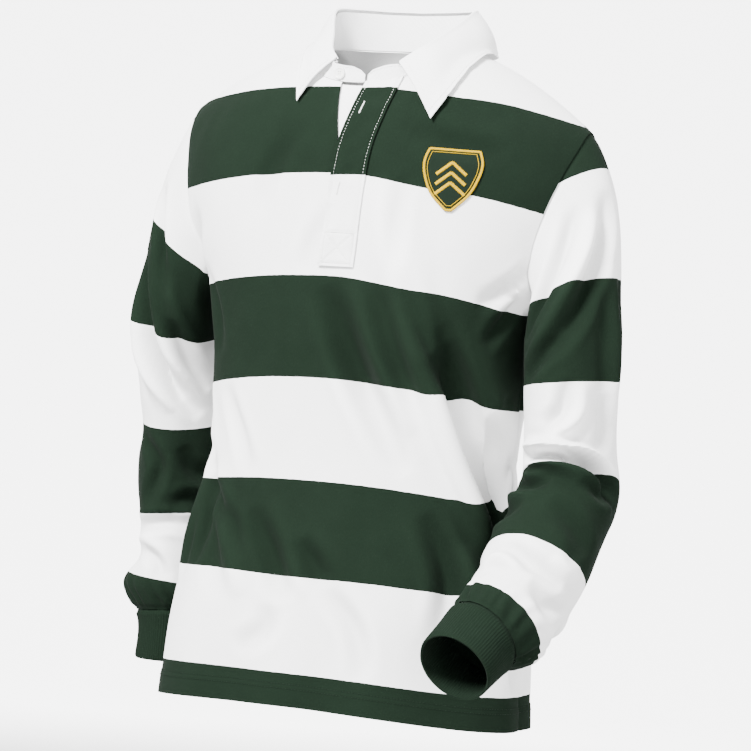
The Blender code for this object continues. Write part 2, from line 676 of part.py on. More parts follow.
def make_fall(front, back, front_out, back_out):
    """The collar's fall: over the fold and down to its edge, lying just off the shoulders."""
    up = np.array([0.0, 0.0, 1.0])
    folds, edges = [], []
    for table in (COLLAR_RIGHT, COLLAR_LEFT):
        rows = np.array(table, float)
        along = np.linspace(rows[0, 0], 1.0, FALL_STEPS)
        folds.append(through(rows[:, 0], rows[:, 1:4], along))
        edges.append(through(rows[:, 0], rows[:, 4:7], along))
    fold = np.concatenate([folds[0], folds[1][::-1][1:]])
    edge = np.concatenate([edges[0], edges[1][::-1][1:]])
    out = unit(np.cross(np.gradient(fold, axis=0), up))
    out = out * np.sign((out * (edge - fold)).sum(axis=1, keepdims=True))
    rows = [fold + up * FALL_LIFT[0] + out * FALL_OUT[0]]
    start = fold + up * FALL_LIFT[1] + out * FALL_OUT[1]
    for share in FALL_ROWS:
        bulge = FALL_BULGE * 4.0 * share * (1.0 - share)
        rows.append(start * (1 - share) + edge * share + unit(out + up) * bulge)
    grid = np.array(rows)
    surface = np.concatenate([finer(part, 3).reshape(-1, 3) for part in (front, back)])
    normals = np.concatenate([finer(part, 3).reshape(-1, 3) for part in (front_out, back_out)])
    near = surface[:, 2] > FALL_LOWEST
    grid[2:] = clear_of(grid[2:], surface[near], unit(normals[near]), FALL_CLEARANCE)
    wall("collar_fall", "white", grid, -grid_normals(grid), TWILL)


def strip_over_body(left_x, right_x, bottom, gaps, steps, rows):
    """Points over the front between two edges, up to the neckline. The edges go by height."""
    grid, normals = [], []
    shares = np.linspace(0.0, 1.0, steps + 1)
    top_x = left_x(NECK_FRONT_HEIGHT) * (1 - shares) + right_x(NECK_FRONT_HEIGHT) * shares
    top = neck_height(top_x, back=False)
    for climb in np.linspace(0.0, 1.0, rows + 1):
        heights = bottom + (top - bottom) * climb
        x = left_x(heights) * (1 - shares) + right_x(heights) * shares
        point, normal = over_body(x, heights, gaps[0] * (1 - shares) + gaps[1] * shares)
        grid.append(point)
        normals.append(normal)
    return np.array(grid), np.array(normals)


def make_plackets():
    def free_edge(height):
        return placket_value("top_edge", height)

    def sewn_edge(height):
        return free_edge(height) + PLACKET_WIDTH

    gaps = [gap + PLACKET_THICKNESS for gap in PLACKET_GAPS]
    grid, out = strip_over_body(
        free_edge, sewn_edge, PLACKET_BOTTOM, gaps, PLACKET_STEPS, PLACKET_ROWS
    )
    wall("placket_top", "white", grid, -out, PLACKET_THICKNESS)

    def lapped_edge(height):
        return placket_value("slit_right", height) - UNDER_PLACKET_LAP

    def far_edge(height):
        return lapped_edge(height) + UNDER_PLACKET_WIDTH

    under = -(JERSEY + UNDER_PLACKET_GAP)
    grid, out = strip_over_body(
        lapped_edge, far_edge, PLACKET_BOTTOM, (under, under), PLACKET_STEPS, PLACKET_ROWS
    )
    grid[-1] -= unit(grid[-1] - grid[-2]) * UNDER_PLACKET_SHORT
    wall("placket_under", "white", grid, -out, TWILL)


def make_button(name, back_face, normal):
    """A flat round button whose back is at a point, facing along a normal."""
    mesh = bpy.data.meshes.new(name)
    shape = bmesh.new()
    bmesh.ops.create_cone(
        shape, cap_ends=True, segments=BUTTON_SIDES, radius1=BUTTON_RADIUS,
        radius2=BUTTON_RADIUS * BUTTON_TAPER, depth=BUTTON_THICKNESS,
    )
    turn = Vector(normal).to_track_quat("Z", "Y").to_matrix().to_4x4()
    middle = Vector(back_face) + Vector(normal) * (BUTTON_THICKNESS / 2)
    bmesh.ops.transform(shape, matrix=Matrix.Translation(middle) @ turn, verts=shape.verts)
    shape.to_mesh(mesh)
    shape.free()
    finish(bpy.data.objects.new(name, mesh), "button_white")


def make_buttons(stand, stand_out):
    x, height = COLLAR_BUTTON
    low, top = stand[0], stand[2]
    ahead = np.where(low[:, 1] < 0, np.abs(low[:, 0] - x), 1.0)
    near = np.argsort(ahead)[:2]
    share = (x - low[near[0], 0]) / (low[near[1], 0] - low[near[0], 0])
    foot = low[near[0]] * (1 - share) + low[near[1]] * share
    head = top[near[0]] * (1 - share) + top[near[1]] * share
    climb = (height - foot[2]) / (head[2] - foot[2])
    normal = unit(stand_out[1, near[0]] + stand_out[1, near[1]])
    face = foot * (1 - climb) + head * climb + normal * 2 * SEAM
    make_button("button_collar", face, normal)
    for number, (x, height) in enumerate(UNDER_BUTTONS, 1):
        gap = SEAM - JERSEY - UNDER_PLACKET_GAP
        face, normal = over_body(np.array(x), np.array(height), gap)
        make_button("button_placket_%d" % number, face, normal)


def make_badge():
    """A plain shield laid on the wearer's left chest."""
    rows, normals = [], []
    down = column(BADGE, BADGE_COLUMNS, "down")
    half = column(BADGE, BADGE_COLUMNS, "half_width")
    for share in np.linspace(1.0, 0.0, BADGE_ROWS + 1):
        width = through(down, half, np.array([share]))[0]
        x = BADGE_X + width * np.linspace(-1.0, 1.0, BADGE_STEPS + 1)
        height = np.full_like(x, BADGE_TOP - BADGE_HEIGHT * share)
        point, normal = over_body(x, height, 2 * SEAM + BADGE_THICKNESS)
        rows.append(point)
        normals.append(normal)
    wall("badge", "bottle_green", np.array(rows), -np.array(normals), BADGE_THICKNESS)


def main():
    for obj in list(bpy.data.objects):
        bpy.data.objects.remove(obj)
    bpy.context.scene.unit_settings.scale_length = 1.0
    collection = bpy.data.collections.new("rugby_shirt")
    bpy.context.scene.collection.children.link(collection)
    front, back, front_out, back_out = make_body_and_sleeves()
    stand, stand_out = make_stand(front, back)
    make_fall(front, back, front_out, back_out)
    make_plackets()
    make_buttons(stand, stand_out)
    make_badge()


main()
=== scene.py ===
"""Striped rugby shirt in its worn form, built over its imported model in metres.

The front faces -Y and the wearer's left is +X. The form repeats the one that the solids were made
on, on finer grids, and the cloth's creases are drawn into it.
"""
import math
from functools import lru_cache

import bpy
import numpy as np
from mathutils import Matrix, Vector, noise


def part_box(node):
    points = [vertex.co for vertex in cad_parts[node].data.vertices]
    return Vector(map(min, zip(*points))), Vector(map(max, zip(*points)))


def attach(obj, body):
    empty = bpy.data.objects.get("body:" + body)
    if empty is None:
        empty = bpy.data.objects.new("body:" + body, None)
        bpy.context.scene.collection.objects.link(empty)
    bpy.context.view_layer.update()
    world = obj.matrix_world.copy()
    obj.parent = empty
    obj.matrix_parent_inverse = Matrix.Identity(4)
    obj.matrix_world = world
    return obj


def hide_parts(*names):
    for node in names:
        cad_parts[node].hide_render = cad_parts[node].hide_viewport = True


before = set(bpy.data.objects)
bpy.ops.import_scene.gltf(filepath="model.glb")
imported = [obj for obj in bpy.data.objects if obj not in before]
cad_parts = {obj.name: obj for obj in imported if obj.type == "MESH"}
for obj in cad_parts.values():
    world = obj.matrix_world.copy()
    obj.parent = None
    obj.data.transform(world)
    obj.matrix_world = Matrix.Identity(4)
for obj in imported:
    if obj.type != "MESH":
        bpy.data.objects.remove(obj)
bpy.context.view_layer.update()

bl_info = {
    "name": "Striped rugby shirt",
    "version": (1, 0, 0),
    "blender": (4, 5, 0),
    "location": "View3D > Sidebar > Shirt",
    "description": "Builds a long-sleeved striped rugby shirt, worn by nobody",
    "category": "Add Mesh",
}

# ---- the form, as the solids have it ------------------------------------------------------
SEAM = 0.0003
JERSEY = 0.0014
TWILL = 0.0012
RIB = 0.0020
HEM_HEIGHT = -0.726
HEM_FRONT_RISE = 0.013
UNDERARM_HEIGHT = -0.270
NECK_HALF_WIDTH = 0.078
NECK_FRONT_HEIGHT = -0.048
NECK_BACK_HEIGHT = 0.004
NECK_CURVE = (2.6, 0.5)
NECK_BACK_CROWN = 0.030
SHOULDER_TIP_X = 0.2350
SHOULDER_DROP_LEFT = 0.086
SHOULDER_DROP_RIGHT = 0.067
SHOULDER_CURVE = 1.5
SHOULDER_RIDGE_Y = 0.012
SHOULDER_ROUND_FRONT = 0.140
SHOULDER_ROUND_BACK = 0.100
SECTION_POWER = 2.25
PROBE = 0.001

BODY_COLUMNS = ("height", "left_half", "right_half", "side_y", "front_y", "back_y")
BODY = (
    (-0.726, 0.2090, 0.2100, -0.010, -0.152, 0.125),
    (-0.690, 0.2070, 0.2085, -0.009, -0.149, 0.124),
    (-0.610, 0.2000, 0.2025, -0.007, -0.141, 0.120),
    (-0.550, 0.1890, 0.1910, -0.005, -0.134, 0.117),
    (-0.456, 0.1720, 0.1740, -0.002, -0.124, 0.112),
    (-0.380, 0.1760, 0.1780, 0.000, -0.121, 0.112),
    (-0.300, 0.1860, 0.1880, 0.004, -0.121, 0.116),
    (-0.270, 0.1960, 0.1960, 0.006, -0.121, 0.118),
    (-0.230, 0.2150, 0.2150, 0.008, -0.120, 0.120),
    (-0.176, 0.2360, 0.2360, 0.010, -0.117, 0.118),
    (-0.137, 0.2440, 0.2440, 0.012, -0.114, 0.112),
    (-0.090, 0.2500, 0.2500, 0.012, -0.110, 0.105),
    (-0.060, 0.2500, 0.2500, 0.012, -0.107, 0.101),
    (0.020, 0.2500, 0.2500, 0.012, -0.103, 0.095),
)
ARMHOLE_COLUMNS = ("height", "front_reach", "back_reach")
ARMHOLE = (
    (-0.270, 1.000, 1.000),
    (-0.250, 0.950, 0.962),
    (-0.225, 0.918, 0.940),
    (-0.176, 0.903, 0.925),
    (-0.137, 0.918, 0.926),
    (-0.100, 0.938, 0.938),
    (-0.060, 0.940, 0.940),
)
# Sections of each sleeve: x, y, z, half widths across and deep, degrees the outside is lifted.
LEFT_SLEEVE = (
    (0.2350, -0.006, -0.285, 0.0490, 0.0630, 30.0),
    (0.2375, -0.006, -0.330, 0.0495, 0.0620, 18.0),
    (0.2395, -0.006, -0.380, 0.0475, 0.0610, 8.0),
    (0.2430, -0.008, -0.425, 0.0470, 0.0600, 2.0),
    (0.2500, -0.018, -0.465, 0.0510, 0.0580, 0.0),
    (0.2450, -0.048, -0.508, 0.0545, 0.0550, 0.0),
    (0.2400, -0.085, -0.553, 0.0545, 0.0540, 0.0),
    (0.2355, -0.114, -0.585, 0.0510, 0.0520, 0.0),
    (0.2300, -0.136, -0.602, 0.0520, 0.0510, 0.0),
    (0.2195, -0.156, -0.616, 0.0440, 0.0440, 0.0),
    (0.2096, -0.203, -0.646, 0.0400, 0.0400, 0.0),
)
RIGHT_SLEEVE = (
    (-0.2480, 0.020, -0.285, 0.0490, 0.0620, 28.0),
    (-0.2590, 0.034, -0.335, 0.0490, 0.0610, 16.0),
    (-0.2600, 0.050, -0.385, 0.0465, 0.0600, 6.0),
    (-0.2600, 0.062, -0.430, 0.0450, 0.0590, 0.0),
    (-0.2660, 0.068, -0.490, 0.0450, 0.0580, 0.0),
    (-0.2610, 0.070, -0.560, 0.0430, 0.0550, 0.0),
    (-0.2600, 0.068, -0.595, 0.0430, 0.0530, 0.0),
    (-0.2680, 0.067, -0.622, 0.0530, 0.0540, 0.0),
    (-0.2635, 0.066, -0.647, 0.0420, 0.0430, 0.0),
    (-0.2620, 0.064, -0.705, 0.0385, 0.0400, 0.0),
)
SLEEVE_TURN_SPAN = 0.030
CAP_STEEPNESS = ((0.0, 0.25, 0.5, 0.75, 1.0), (0.9, 0.9, 1.3, 0.9, 0.9))
CAP_END_PULL = 0.9
# Largest folds of the body: degrees and height of both ends, half width, depth.
FOLDS = (
    (34.0, -0.290, 88.0, -0.560, 0.030, 0.012),
    (22.0, -0.280, 78.0, -0.560, 0.024, -0.007),
    (-57.0, -0.440, -30.0, -0.620, 0.022, 0.006),
    (-74.0, -0.440, -84.0, -0.660, 0.022, 0.006),
    (140.0, -0.330, 118.0, -0.600, 0.030, 0.010),
    (-142.0, -0.340, -120.0, -0.620, 0.030, 0.010),
    (172.0, -0.420, 160.0, -0.700, 0.026, 0.007),
)
FOLD_RADIUS = 0.18
FOLD_FADE = 0.25
# Halves of the collar: place along the neckline, the fold's point, the outer edge's point.
COLLAR_LEFT = (
    (0.20, 0.0425, -0.072, -0.028, 0.095, -0.098, -0.087),
    (0.33, 0.0650, -0.060, -0.009, 0.105, -0.072, -0.060),
    (0.45, 0.0770, -0.030, 0.010, 0.110, -0.030, -0.030),
    (0.55, 0.0830, 0.000, 0.028, 0.113, 0.008, -0.006),
    (0.64, 0.0830, 0.022, 0.039, 0.112, 0.034, -0.004),
    (0.76, 0.0730, 0.050, 0.044, 0.092, 0.064, -0.004),
    (0.88, 0.0410, 0.070, 0.046, 0.050, 0.086, -0.002),
    (1.00, 0.0000, 0.076, 0.046, 0.000, 0.093, -0.001),
)
COLLAR_RIGHT = (
    (0.20, -0.0340, -0.066, -0.024, -0.065, -0.094, -0.072),
    (0.33, -0.0500, -0.047, -0.010, -0.080, -0.062, -0.036),
    (0.45, -0.0620, -0.022, 0.010, -0.091, -0.030, -0.014),
    (0.55, -0.0735, 0.000, 0.028, -0.098, 0.005, -0.008),
    (0.64, -0.0780, 0.015, 0.040, -0.104, 0.028, -0.005),
    (0.76, -0.0670, 0.046, 0.045, -0.087, 0.060, -0.005),
    (0.88, -0.0380, 0.068, 0.046, -0.048, 0.085, -0.003),
    (1.00, 0.0000, 0.076, 0.046, 0.000, 0.093, -0.001),
)
STAND_ENDS_X = (0.0055, 0.0085)
STAND_FRONT = ((0.03, 0.009), (0.05, 0.014), (0.09, 0.018), (0.20, 0.019))
STAND_TURN = (0.12, 0.20)
STAND_GAP = 0.0005
FALL_LIFT = (0.0032, 0.0025)
FALL_OUT = (-0.0008, 0.0036)
FALL_CLEARANCE = 0.0045
FALL_BULGE = 0.005
FALL_LOWEST = -0.150
PLACKET_COLUMNS = ("height", "slit_right", "top_edge")
PLACKET = (
    (-0.250, -0.0040, -0.0120),
    (-0.180, -0.0040, -0.0090),
    (-0.118, -0.0050, -0.0040),
    (-0.080, -0.0140, 0.0030),
    (-0.048, -0.0220, 0.0080),
    (0.010, -0.0260, 0.0090),
)
SLIT_LEFT = 0.0195
SLIT_BOTTOM = -0.228
PLACKET_BOTTOM = -0.248
PLACKET_WIDTH = 0.040
PLACKET_THICKNESS = 0.0020
PLACKET_GAPS = (0.0016, 0.0006)
UNDER_PLACKET_GAP = 0.0016
UNDER_PLACKET_WIDTH = 0.040
UNDER_PLACKET_LAP = 0.007
UNDER_PLACKET_SHORT = 0.001
BUTTONHOLE_HEIGHTS = (-0.078, -0.165)
BADGE_X = 0.1250
BADGE_TOP = -0.118
BADGE_HEIGHT = 0.066
BADGE = ((0.0, 0.026), (0.22, 0.030), (0.50, 0.027), (0.75, 0.019), (1.0, 0.003))

# ---- the cloth's own creases --------------------------------------------------------------
# Each runs through places on the cloth, then has a half width and a depth; a ridge's is below 0.
# On the body a place is degrees round from the middle of the front, and height.
BODY_CREASES = (
    (((10, -0.150), (23, -0.254), (36, -0.348), (49, -0.422), (61, -0.484), (70, -0.525)), 0.015, -0.0110),
    (((40, -0.330), (56, -0.400), (68, -0.450), (78, -0.490), (88, -0.530)), 0.024, 0.0230),
    (((70, -0.390), (80, -0.440), (90, -0.490)), 0.020, 0.0135),
    (((-1, -0.268), (7, -0.324), (14, -0.366), (23, -0.410), (34, -0.462)), 0.013, 0.0167),
    (((9, -0.260), (17, -0.318), (25, -0.368), (35, -0.420)), 0.010, -0.0081),
    (((23, -0.254), (33, -0.312), (43, -0.376)), 0.008, 0.0076),
    (((40, -0.300), (54, -0.372), (66, -0.430)), 0.010, 0.0065),
    (((7, -0.582), (17, -0.616), (21, -0.646), (22, -0.682)), 0.009, 0.0086),
    (((-53, -0.482), (-32, -0.526), (-23, -0.576)), 0.009, 0.0097),
    (((-53, -0.482), (-48, -0.530), (-46, -0.580)), 0.009, 0.0092),
    (((-60, -0.470), (-60, -0.540), (-62, -0.600)), 0.010, -0.0070),
    (((-40, -0.490), (-27, -0.560), (-21, -0.605)), 0.010, -0.0092),
    (((-22, -0.510), (-11, -0.562), (-5, -0.606)), 0.012, 0.0113),
    (((-2, -0.538), (9, -0.586)), 0.011, 0.0081),
    (((41, -0.500), (49, -0.568), (46, -0.640)), 0.013, 0.0119),
    (((56, -0.530), (62, -0.600), (60, -0.670)), 0.014, -0.0092),
    (((-20, -0.660), (-11, -0.638), (-9, -0.608)), 0.010, 0.0076),
    (((70, -0.560), (80, -0.620), (84, -0.690)), 0.013, 0.0124),
    (((66, -0.235), (60, -0.258), (50, -0.280)), 0.009, 0.0081),
    (((72, -0.262), (66, -0.292), (58, -0.322)), 0.010, 0.0070),
    (((-52, -0.190), (-64, -0.240), (-70, -0.272)), 0.010, 0.0070),
    (((-62, -0.250), (-54, -0.300), (-50, -0.350)), 0.012, 0.0059),
    (((17, -0.150), (18, -0.200), (21, -0.246)), 0.007, 0.0059),
    (((-1, -0.182), (-6, -0.222), (-9, -0.256)), 0.007, 0.0054),
    (((-44, -0.380), (-35, -0.426), (-26, -0.474)), 0.009, 0.0059),
    (((-70, -0.380), (-62, -0.430), (-56, -0.476)), 0.011, 0.0086),
    (((-66, -0.440), (-74, -0.500), (-80, -0.570)), 0.011, 0.0097),
    (((14, -0.090), (30, -0.112), (44, -0.118)), 0.010, 0.0043),
    (((-12, -0.092), (-20, -0.150), (-24, -0.196)), 0.009, 0.0049),
    (((96, -0.300), (100, -0.380), (96, -0.460)), 0.013, 0.0108),
    (((104, -0.440), (96, -0.530), (92, -0.610)), 0.014, 0.0124),
    (((-98, -0.310), (-102, -0.390), (-98, -0.470)), 0.013, 0.0108),
    (((-106, -0.450), (-98, -0.540), (-94, -0.620)), 0.014, 0.0119),
    (((116, -0.290), (128, -0.340), (144, -0.372), (160, -0.384)), 0.012, 0.0092),
    (((-118, -0.300), (-132, -0.348), (-150, -0.378)), 0.012, 0.0086),
    (((112, -0.430), (126, -0.470), (146, -0.492), (166, -0.488)), 0.012, 0.0113),
    (((-114, -0.440), (-130, -0.474), (-150, -0.484), (-172, -0.474)), 0.011, 0.0108),
    (((120, -0.520), (140, -0.540), (158, -0.536)), 0.011, 0.0086),
    (((-122, -0.530), (-140, -0.552), (-162, -0.548)), 0.012, 0.0092),
    (((150, -0.580), (146, -0.640), (149, -0.700)), 0.013, 0.0097),
    (((-150, -0.590), (-147, -0.650), (-150, -0.704)), 0.012, 0.0086),
    (((176, -0.600), (181, -0.650), (179, -0.706)), 0.013, 0.0092),
    (((124, -0.610), (119, -0.660), (121, -0.706)), 0.012, 0.0097),
    (((-124, -0.610), (-118, -0.660), (-121, -0.706)), 0.012, 0.0097),
    (((150, -0.130), (136, -0.190), (126, -0.236)), 0.012, 0.0070),
    (((-150, -0.120), (-138, -0.186), (-127, -0.236)), 0.012, 0.0070),
    (((172, -0.070), (178, -0.120), (184, -0.160)), 0.014, 0.0054),
)
# On a sleeve a place is turns round from the underarm by way of the front, and metres down its
# middle line from the first section.
LEFT_CREASES = (
    (((0.10, 0.004), (0.20, -0.030), (0.29, -0.070), (0.35, -0.105)), 0.009, 0.0110),
    (((0.16, 0.030), (0.27, -0.006), (0.36, -0.050), (0.41, -0.090)), 0.009, -0.0075),
    (((0.24, 0.040), (0.35, 0.004), (0.42, -0.050), (0.46, -0.110)), 0.010, 0.0115),
    (((0.12, 0.060), (0.20, 0.040), (0.28, 0.026)), 0.010, 0.0075),
    (((0.47, -0.030), (0.47, 0.031), (0.48, 0.078), (0.49, 0.120)), 0.009, -0.0085),
    (((0.53, -0.010), (0.54, 0.050), (0.54, 0.110)), 0.010, 0.0075),
    (((0.08, 0.150), (0.20, 0.156), (0.34, 0.166), (0.44, 0.180), (0.52, 0.190)), 0.0075, 0.0220),
    (((0.10, 0.138), (0.22, 0.143), (0.34, 0.152), (0.44, 0.166)), 0.008, -0.0100),
    (((0.14, 0.172), (0.28, 0.184), (0.42, 0.198)), 0.009, -0.0085),
    (((0.16, 0.150), (0.28, 0.130), (0.35, 0.106), (0.36, 0.074)), 0.009, -0.0085),
    (((0.22, 0.118), (0.29, 0.100), (0.30, 0.070)), 0.009, 0.0090),
    (((0.42, 0.150), (0.45, 0.120), (0.44, 0.088)), 0.010, 0.0080),
    (((0.34, 0.196), (0.43, 0.196), (0.50, 0.188)), 0.007, 0.0090),
    (((0.06, 0.200), (0.16, 0.212), (0.26, 0.210)), 0.009, 0.0105),
    (((0.02, 0.232), (0.10, 0.244), (0.20, 0.246)), 0.010, 0.0085),
    (((0.28, 0.236), (0.38, 0.250), (0.46, 0.272)), 0.012, 0.0060),
    (((0.20, 0.300), (0.30, 0.314), (0.44, 0.318)), 0.010, 0.0100),
    (((0.14, 0.330), (0.22, 0.318), (0.30, 0.330)), 0.009, -0.0075),
    (((0.34, 0.338), (0.44, 0.342), (0.52, 0.326)), 0.009, 0.0100),
    (((0.36, 0.296), (0.42, 0.300), (0.48, 0.290)), 0.010, -0.0065),
    (((0.60, 0.300), (0.68, 0.314), (0.78, 0.306)), 0.011, 0.0100),
    (((0.56, 0.340), (0.66, 0.344), (0.74, 0.334)), 0.009, 0.0085),
    (((0.62, 0.190), (0.70, 0.176), (0.80, 0.172)), 0.012, 0.0085),
    (((0.66, 0.230), (0.74, 0.250), (0.76, 0.280)), 0.012, 0.0075),
    (((0.90, 0.010), (0.80, -0.030), (0.70, -0.080)), 0.011, 0.0100),
    (((0.84, 0.050), (0.74, 0.030), (0.66, -0.010)), 0.012, 0.0080),
    (((0.76, 0.080), (0.78, 0.120), (0.74, 0.150)), 0.012, 0.0070),
    (((0.92, 0.150), (0.99, 0.168), (1.06, 0.166)), 0.010, 0.0110),
    (((0.90, 0.200), (0.97, 0.216), (1.05, 0.220)), 0.010, 0.0090),
    (((0.94, 0.300), (1.02, 0.316), (1.10, 0.310)), 0.010, 0.0085),
)
RIGHT_CREASES = (
    (((0.41, -0.030), (0.34, 0.010), (0.24, 0.060), (0.14, 0.110)), 0.011, 0.0132),
    (((0.46, 0.000), (0.38, 0.036), (0.28, 0.086), (0.20, 0.124)), 0.010, -0.0051),
    (((0.31, 0.038), (0.20, 0.081), (0.09, 0.132)), 0.010, 0.0150),
    (((0.20, 0.000), (0.13, 0.040), (0.05, 0.100)), 0.010, 0.0102),
    (((0.28, -0.060), (0.20, -0.020), (0.12, 0.020)), 0.009, -0.0045),
    (((0.40, -0.110), (0.30, -0.070), (0.22, -0.020)), 0.010, 0.0102),
    (((0.36, 0.160), (0.24, 0.200), (0.30, 0.246)), 0.009, 0.0071),
    (((0.16, 0.170), (0.10, 0.200), (0.02, 0.214)), 0.010, 0.0074),
    (((0.20, 0.250), (0.12, 0.240), (0.04, 0.250)), 0.009, 0.0060),
    (((0.40, 0.276), (0.30, 0.270), (0.18, 0.268), (0.08, 0.276)), 0.008, 0.0097),
    (((0.42, 0.288), (0.30, 0.292), (0.20, 0.306), (0.14, 0.330)), 0.009, -0.0034),
    (((0.34, 0.304), (0.26, 0.312), (0.20, 0.334)), 0.008, 0.0074),
    (((0.48, 0.170), (0.50, 0.210), (0.47, 0.250)), 0.011, 0.0060),
    (((0.60, 0.040), (0.64, 0.100), (0.60, 0.150)), 0.012, 0.0102),
    (((0.56, 0.280), (0.66, 0.274), (0.76, 0.284)), 0.010, 0.0132),
    (((0.54, 0.310), (0.64, 0.316), (0.72, 0.308)), 0.009, 0.0108),
    (((0.88, 0.020), (0.78, -0.020), (0.68, -0.070)), 0.012, 0.0114),
    (((0.82, 0.080), (0.72, 0.100), (0.66, 0.140)), 0.012, 0.0102),
    (((0.78, 0.180), (0.86, 0.206), (0.94, 0.210)), 0.011, 0.0114),
    (((0.80, 0.240), (0.90, 0.256), (1.00, 0.252)), 0.011, 0.0102),
    (((0.92, 0.296), (1.00, 0.306), (1.08, 0.300)), 0.010, 0.0102),
)
# Where the stripes' edges lie down each sleeve's middle line: slack cloth takes up the rest.
LEFT_STRIPE_EDGES = (-0.135, -0.0285, 0.070, 0.172, 0.285, 0.367)
RIGHT_STRIPE_EDGES = (-0.180, -0.075, 0.030, 0.148, 0.257, 0.335)
# How far the stripes sag below their even places, at heights over the hem and degrees round.
SAG_ANGLES = (-180.0, -60.0, 0.0, 30.0, 70.0, 180.0)
SAG_HEIGHTS = (0.00, 0.14, 0.25, 0.36, 0.46, 0.57, 0.70)
STRIPE_SAG = (
    (0.000, 0.000, 0.000, 0.000, 0.000, 0.000),
    (0.002, 0.001, 0.008, 0.006, 0.003, 0.002),
    (0.012, 0.013, 0.012, 0.012, 0.014, 0.012),
    (0.015, 0.012, 0.009, 0.012, 0.019, 0.015),
    (0.016, 0.010, 0.007, 0.015, 0.023, 0.016),
    (0.016, 0.010, 0.004, 0.015, 0.024, 0.016),
    (0.024, 0.016, 0.020, 0.022, 0.038, 0.024),
)
STRIPE_LEVEL = 0.65       # how far a sleeve's stripes stay level where its sections lean
BODY_RADIUS = 0.175
SLEEVE_RADIUS = 0.055
GATHERS = 19
CREASE_PARTS = 24
CREASE_SHOULDER = (0.26, 1.9, 0.55)   # the cloth heaped beside a crease: share, place, breadth
CREASE_FADE = 0.8
SUNK_SCALE = 250.0                    # what the finishes read as 1, their fullest painted shade, is 4 mm deep
# Unevenness is its depth, its size, how far it's drawn out down the cloth, and a seed.
BODY_UNEVEN = ((0.0016, 0.085, 0.55, 3.0), (0.0006, 0.030, 0.6, 7.0))
SLEEVE_UNEVEN = ((0.0016, 0.060, 0.6, 11.0), (0.0007, 0.024, 0.7, 5.0))
SHOULDER_SETTLE = 0.05
HEM_WAVE = 0.0030
HEM_WAVE_SHARE = 0.6
HEM_WAVES = (9.0, 1.3, 4.0)           # how many, how far they stray, how often
HEM_WAVE_REACH = 0.16
HEM_PROUD = 0.0009
HEM_STEP = (0.0215, 0.0025)           # height over the edge, breadth
SIDE_SEAM = (0.0013, 0.9)             # depth, columns that it takes up
SHOULDER_SEAM = 0.0006

# ---- grids --------------------------------------------------------------------------------
NECK_FINE = 14
SHOULDER_FINE = 58
SLIT_FINE = 8
LOW_FINE = 104
HIGH_FINE = 56
HIGH_ROWS = (0.0, 0.15, 0.32, 0.48, 0.62, 0.75, 0.86, 0.94, 1.0)
NECK_CROWDING = 0.8
ROW_LIFT = 0.9
ROW_LIFT_SPREAD = 0.5
CAP_FINE = 34
SLEEVE_FINE = 150
CUFF_FINE = 26
CUFF_LAP = 0.0045
RIB_POINTS = 5
CAP_CROWDING = 1.15
# Waves round a sleeve are size, how many, and the turn that each starts at.
SLEEVE_WARP = ((0.013, 3, 0.2), (0.006, 7, 0.0))
PLEAT_SIZE = ((0.35, 5, 0.4), (0.2, 11, 0.0))
PLEAT_LEAST = 0.65
PLEAT_DEPTH = 0.0025
PLEAT_REACH = 0.055
PLEAT_WANDER = (2.2, 90.0)            # how far the pleats stray, how often down the sleeve
PLEAT_END = (0.75, 0.8, 0.2)          # share lost at the cuff, from where, over how much
SLEEVE_SETTLE = 0.020
ARMHOLE_SEAM = (0.0014, 0.0030)       # depth, reach
CUFF_DIP = (0.0021, 0.86, 0.14)       # depth, from where, over how much
CUFF_DEEP = 0.058
CUFF_ROUND = 0.25
RIB_DEPTH = 0.00055
RIB_SHARPNESS = 0.7
RIB_WANDER = (0.10, 5.0, 40.0)        # size, how often along the cuff, and round it
RIB_ENDS = (0.06, 0.05)
CUFF_SLACK = (0.0022, 0.035, 1.0, 17.0)
CUFF_TUCK = (0.0040, 0.08)            # depth, share of the cuff
CUFF_ROLL = (0.0012, 0.04)
STAND_FINE = 9
FALL_FINE = 64
FALL_ROWS_FINE = 22
LEAD_FINE = (12, 8)
STAND_PUCKER = (0.0007, 0.012, 1.0, 23.0)
FALL_CROWN = (0.0072, 0.0014)
FALL_ROLL_FINE = 7
FALL_SOFTENING = 6
FALL_WAVE = (0.0011, 0.034, 1.0, 29.0)
NEAR_POINTS = 12
CLEARING_ROUNDS = 3
PLACKET_GRID = (44, 200)
UNDER_PLACKET_GRID = (16, 80)

# ---- stitching, badge and buttons ---------------------------------------------------------
EDGE_STITCH = 0.0035
BOX_STITCH = (0.004, 0.036)           # the stitched box at the placket's foot: near and far sides
BOX_POINTS = 120
BOX_CROSS_SHARE = 0.9
SEWN_LINE = (0.0008, 0.0016)
QUILT = (0.0010, 0.014, 1.0, 41.0)
QUILT_EDGE = 0.004
PLACKET_LEAN = 0.0035
STITCH_LIFT = 0.0003
STITCH_SHARE = 0.82                   # of the distance from stitch to stitch
STITCH_WIDE = 0.00062
BOX_STITCH_WIDE = 0.00055
FINE_STITCH = (0.55, 0.00036)
HEM_STITCHES = (0.0195, 0.0245)
PLACKET_STITCHES = (3.8, 40.4)
FALL_STITCHES = (1.9, 2.0, 3.0)       # in from the edge, the right end and the left end
STAND_STITCHES = (0.9, 7.1)
STAND_STITCH_ENDS = (24, 20)
BADGE_GRID = (41, 33)
BADGE_CLOTH = 0.0012
BADGE_GAP = 2 * SEAM + BADGE_CLOTH
BADGE_CENTRE = 0.42
BADGE_LINES = ((0.965, 0.0034), (0.845, 0.0009))
CHEVRON_TOPS = (-0.0150, -0.0255, -0.0360)
CHEVRON = (0.0150, 0.0125, 0.0044)    # half its span, its drop, how wide it's sewn
CHEVRON_POINTS = 60
SATIN_PITCH = 0.00062
SATIN_SIZE = (0.00085, 0.0011)
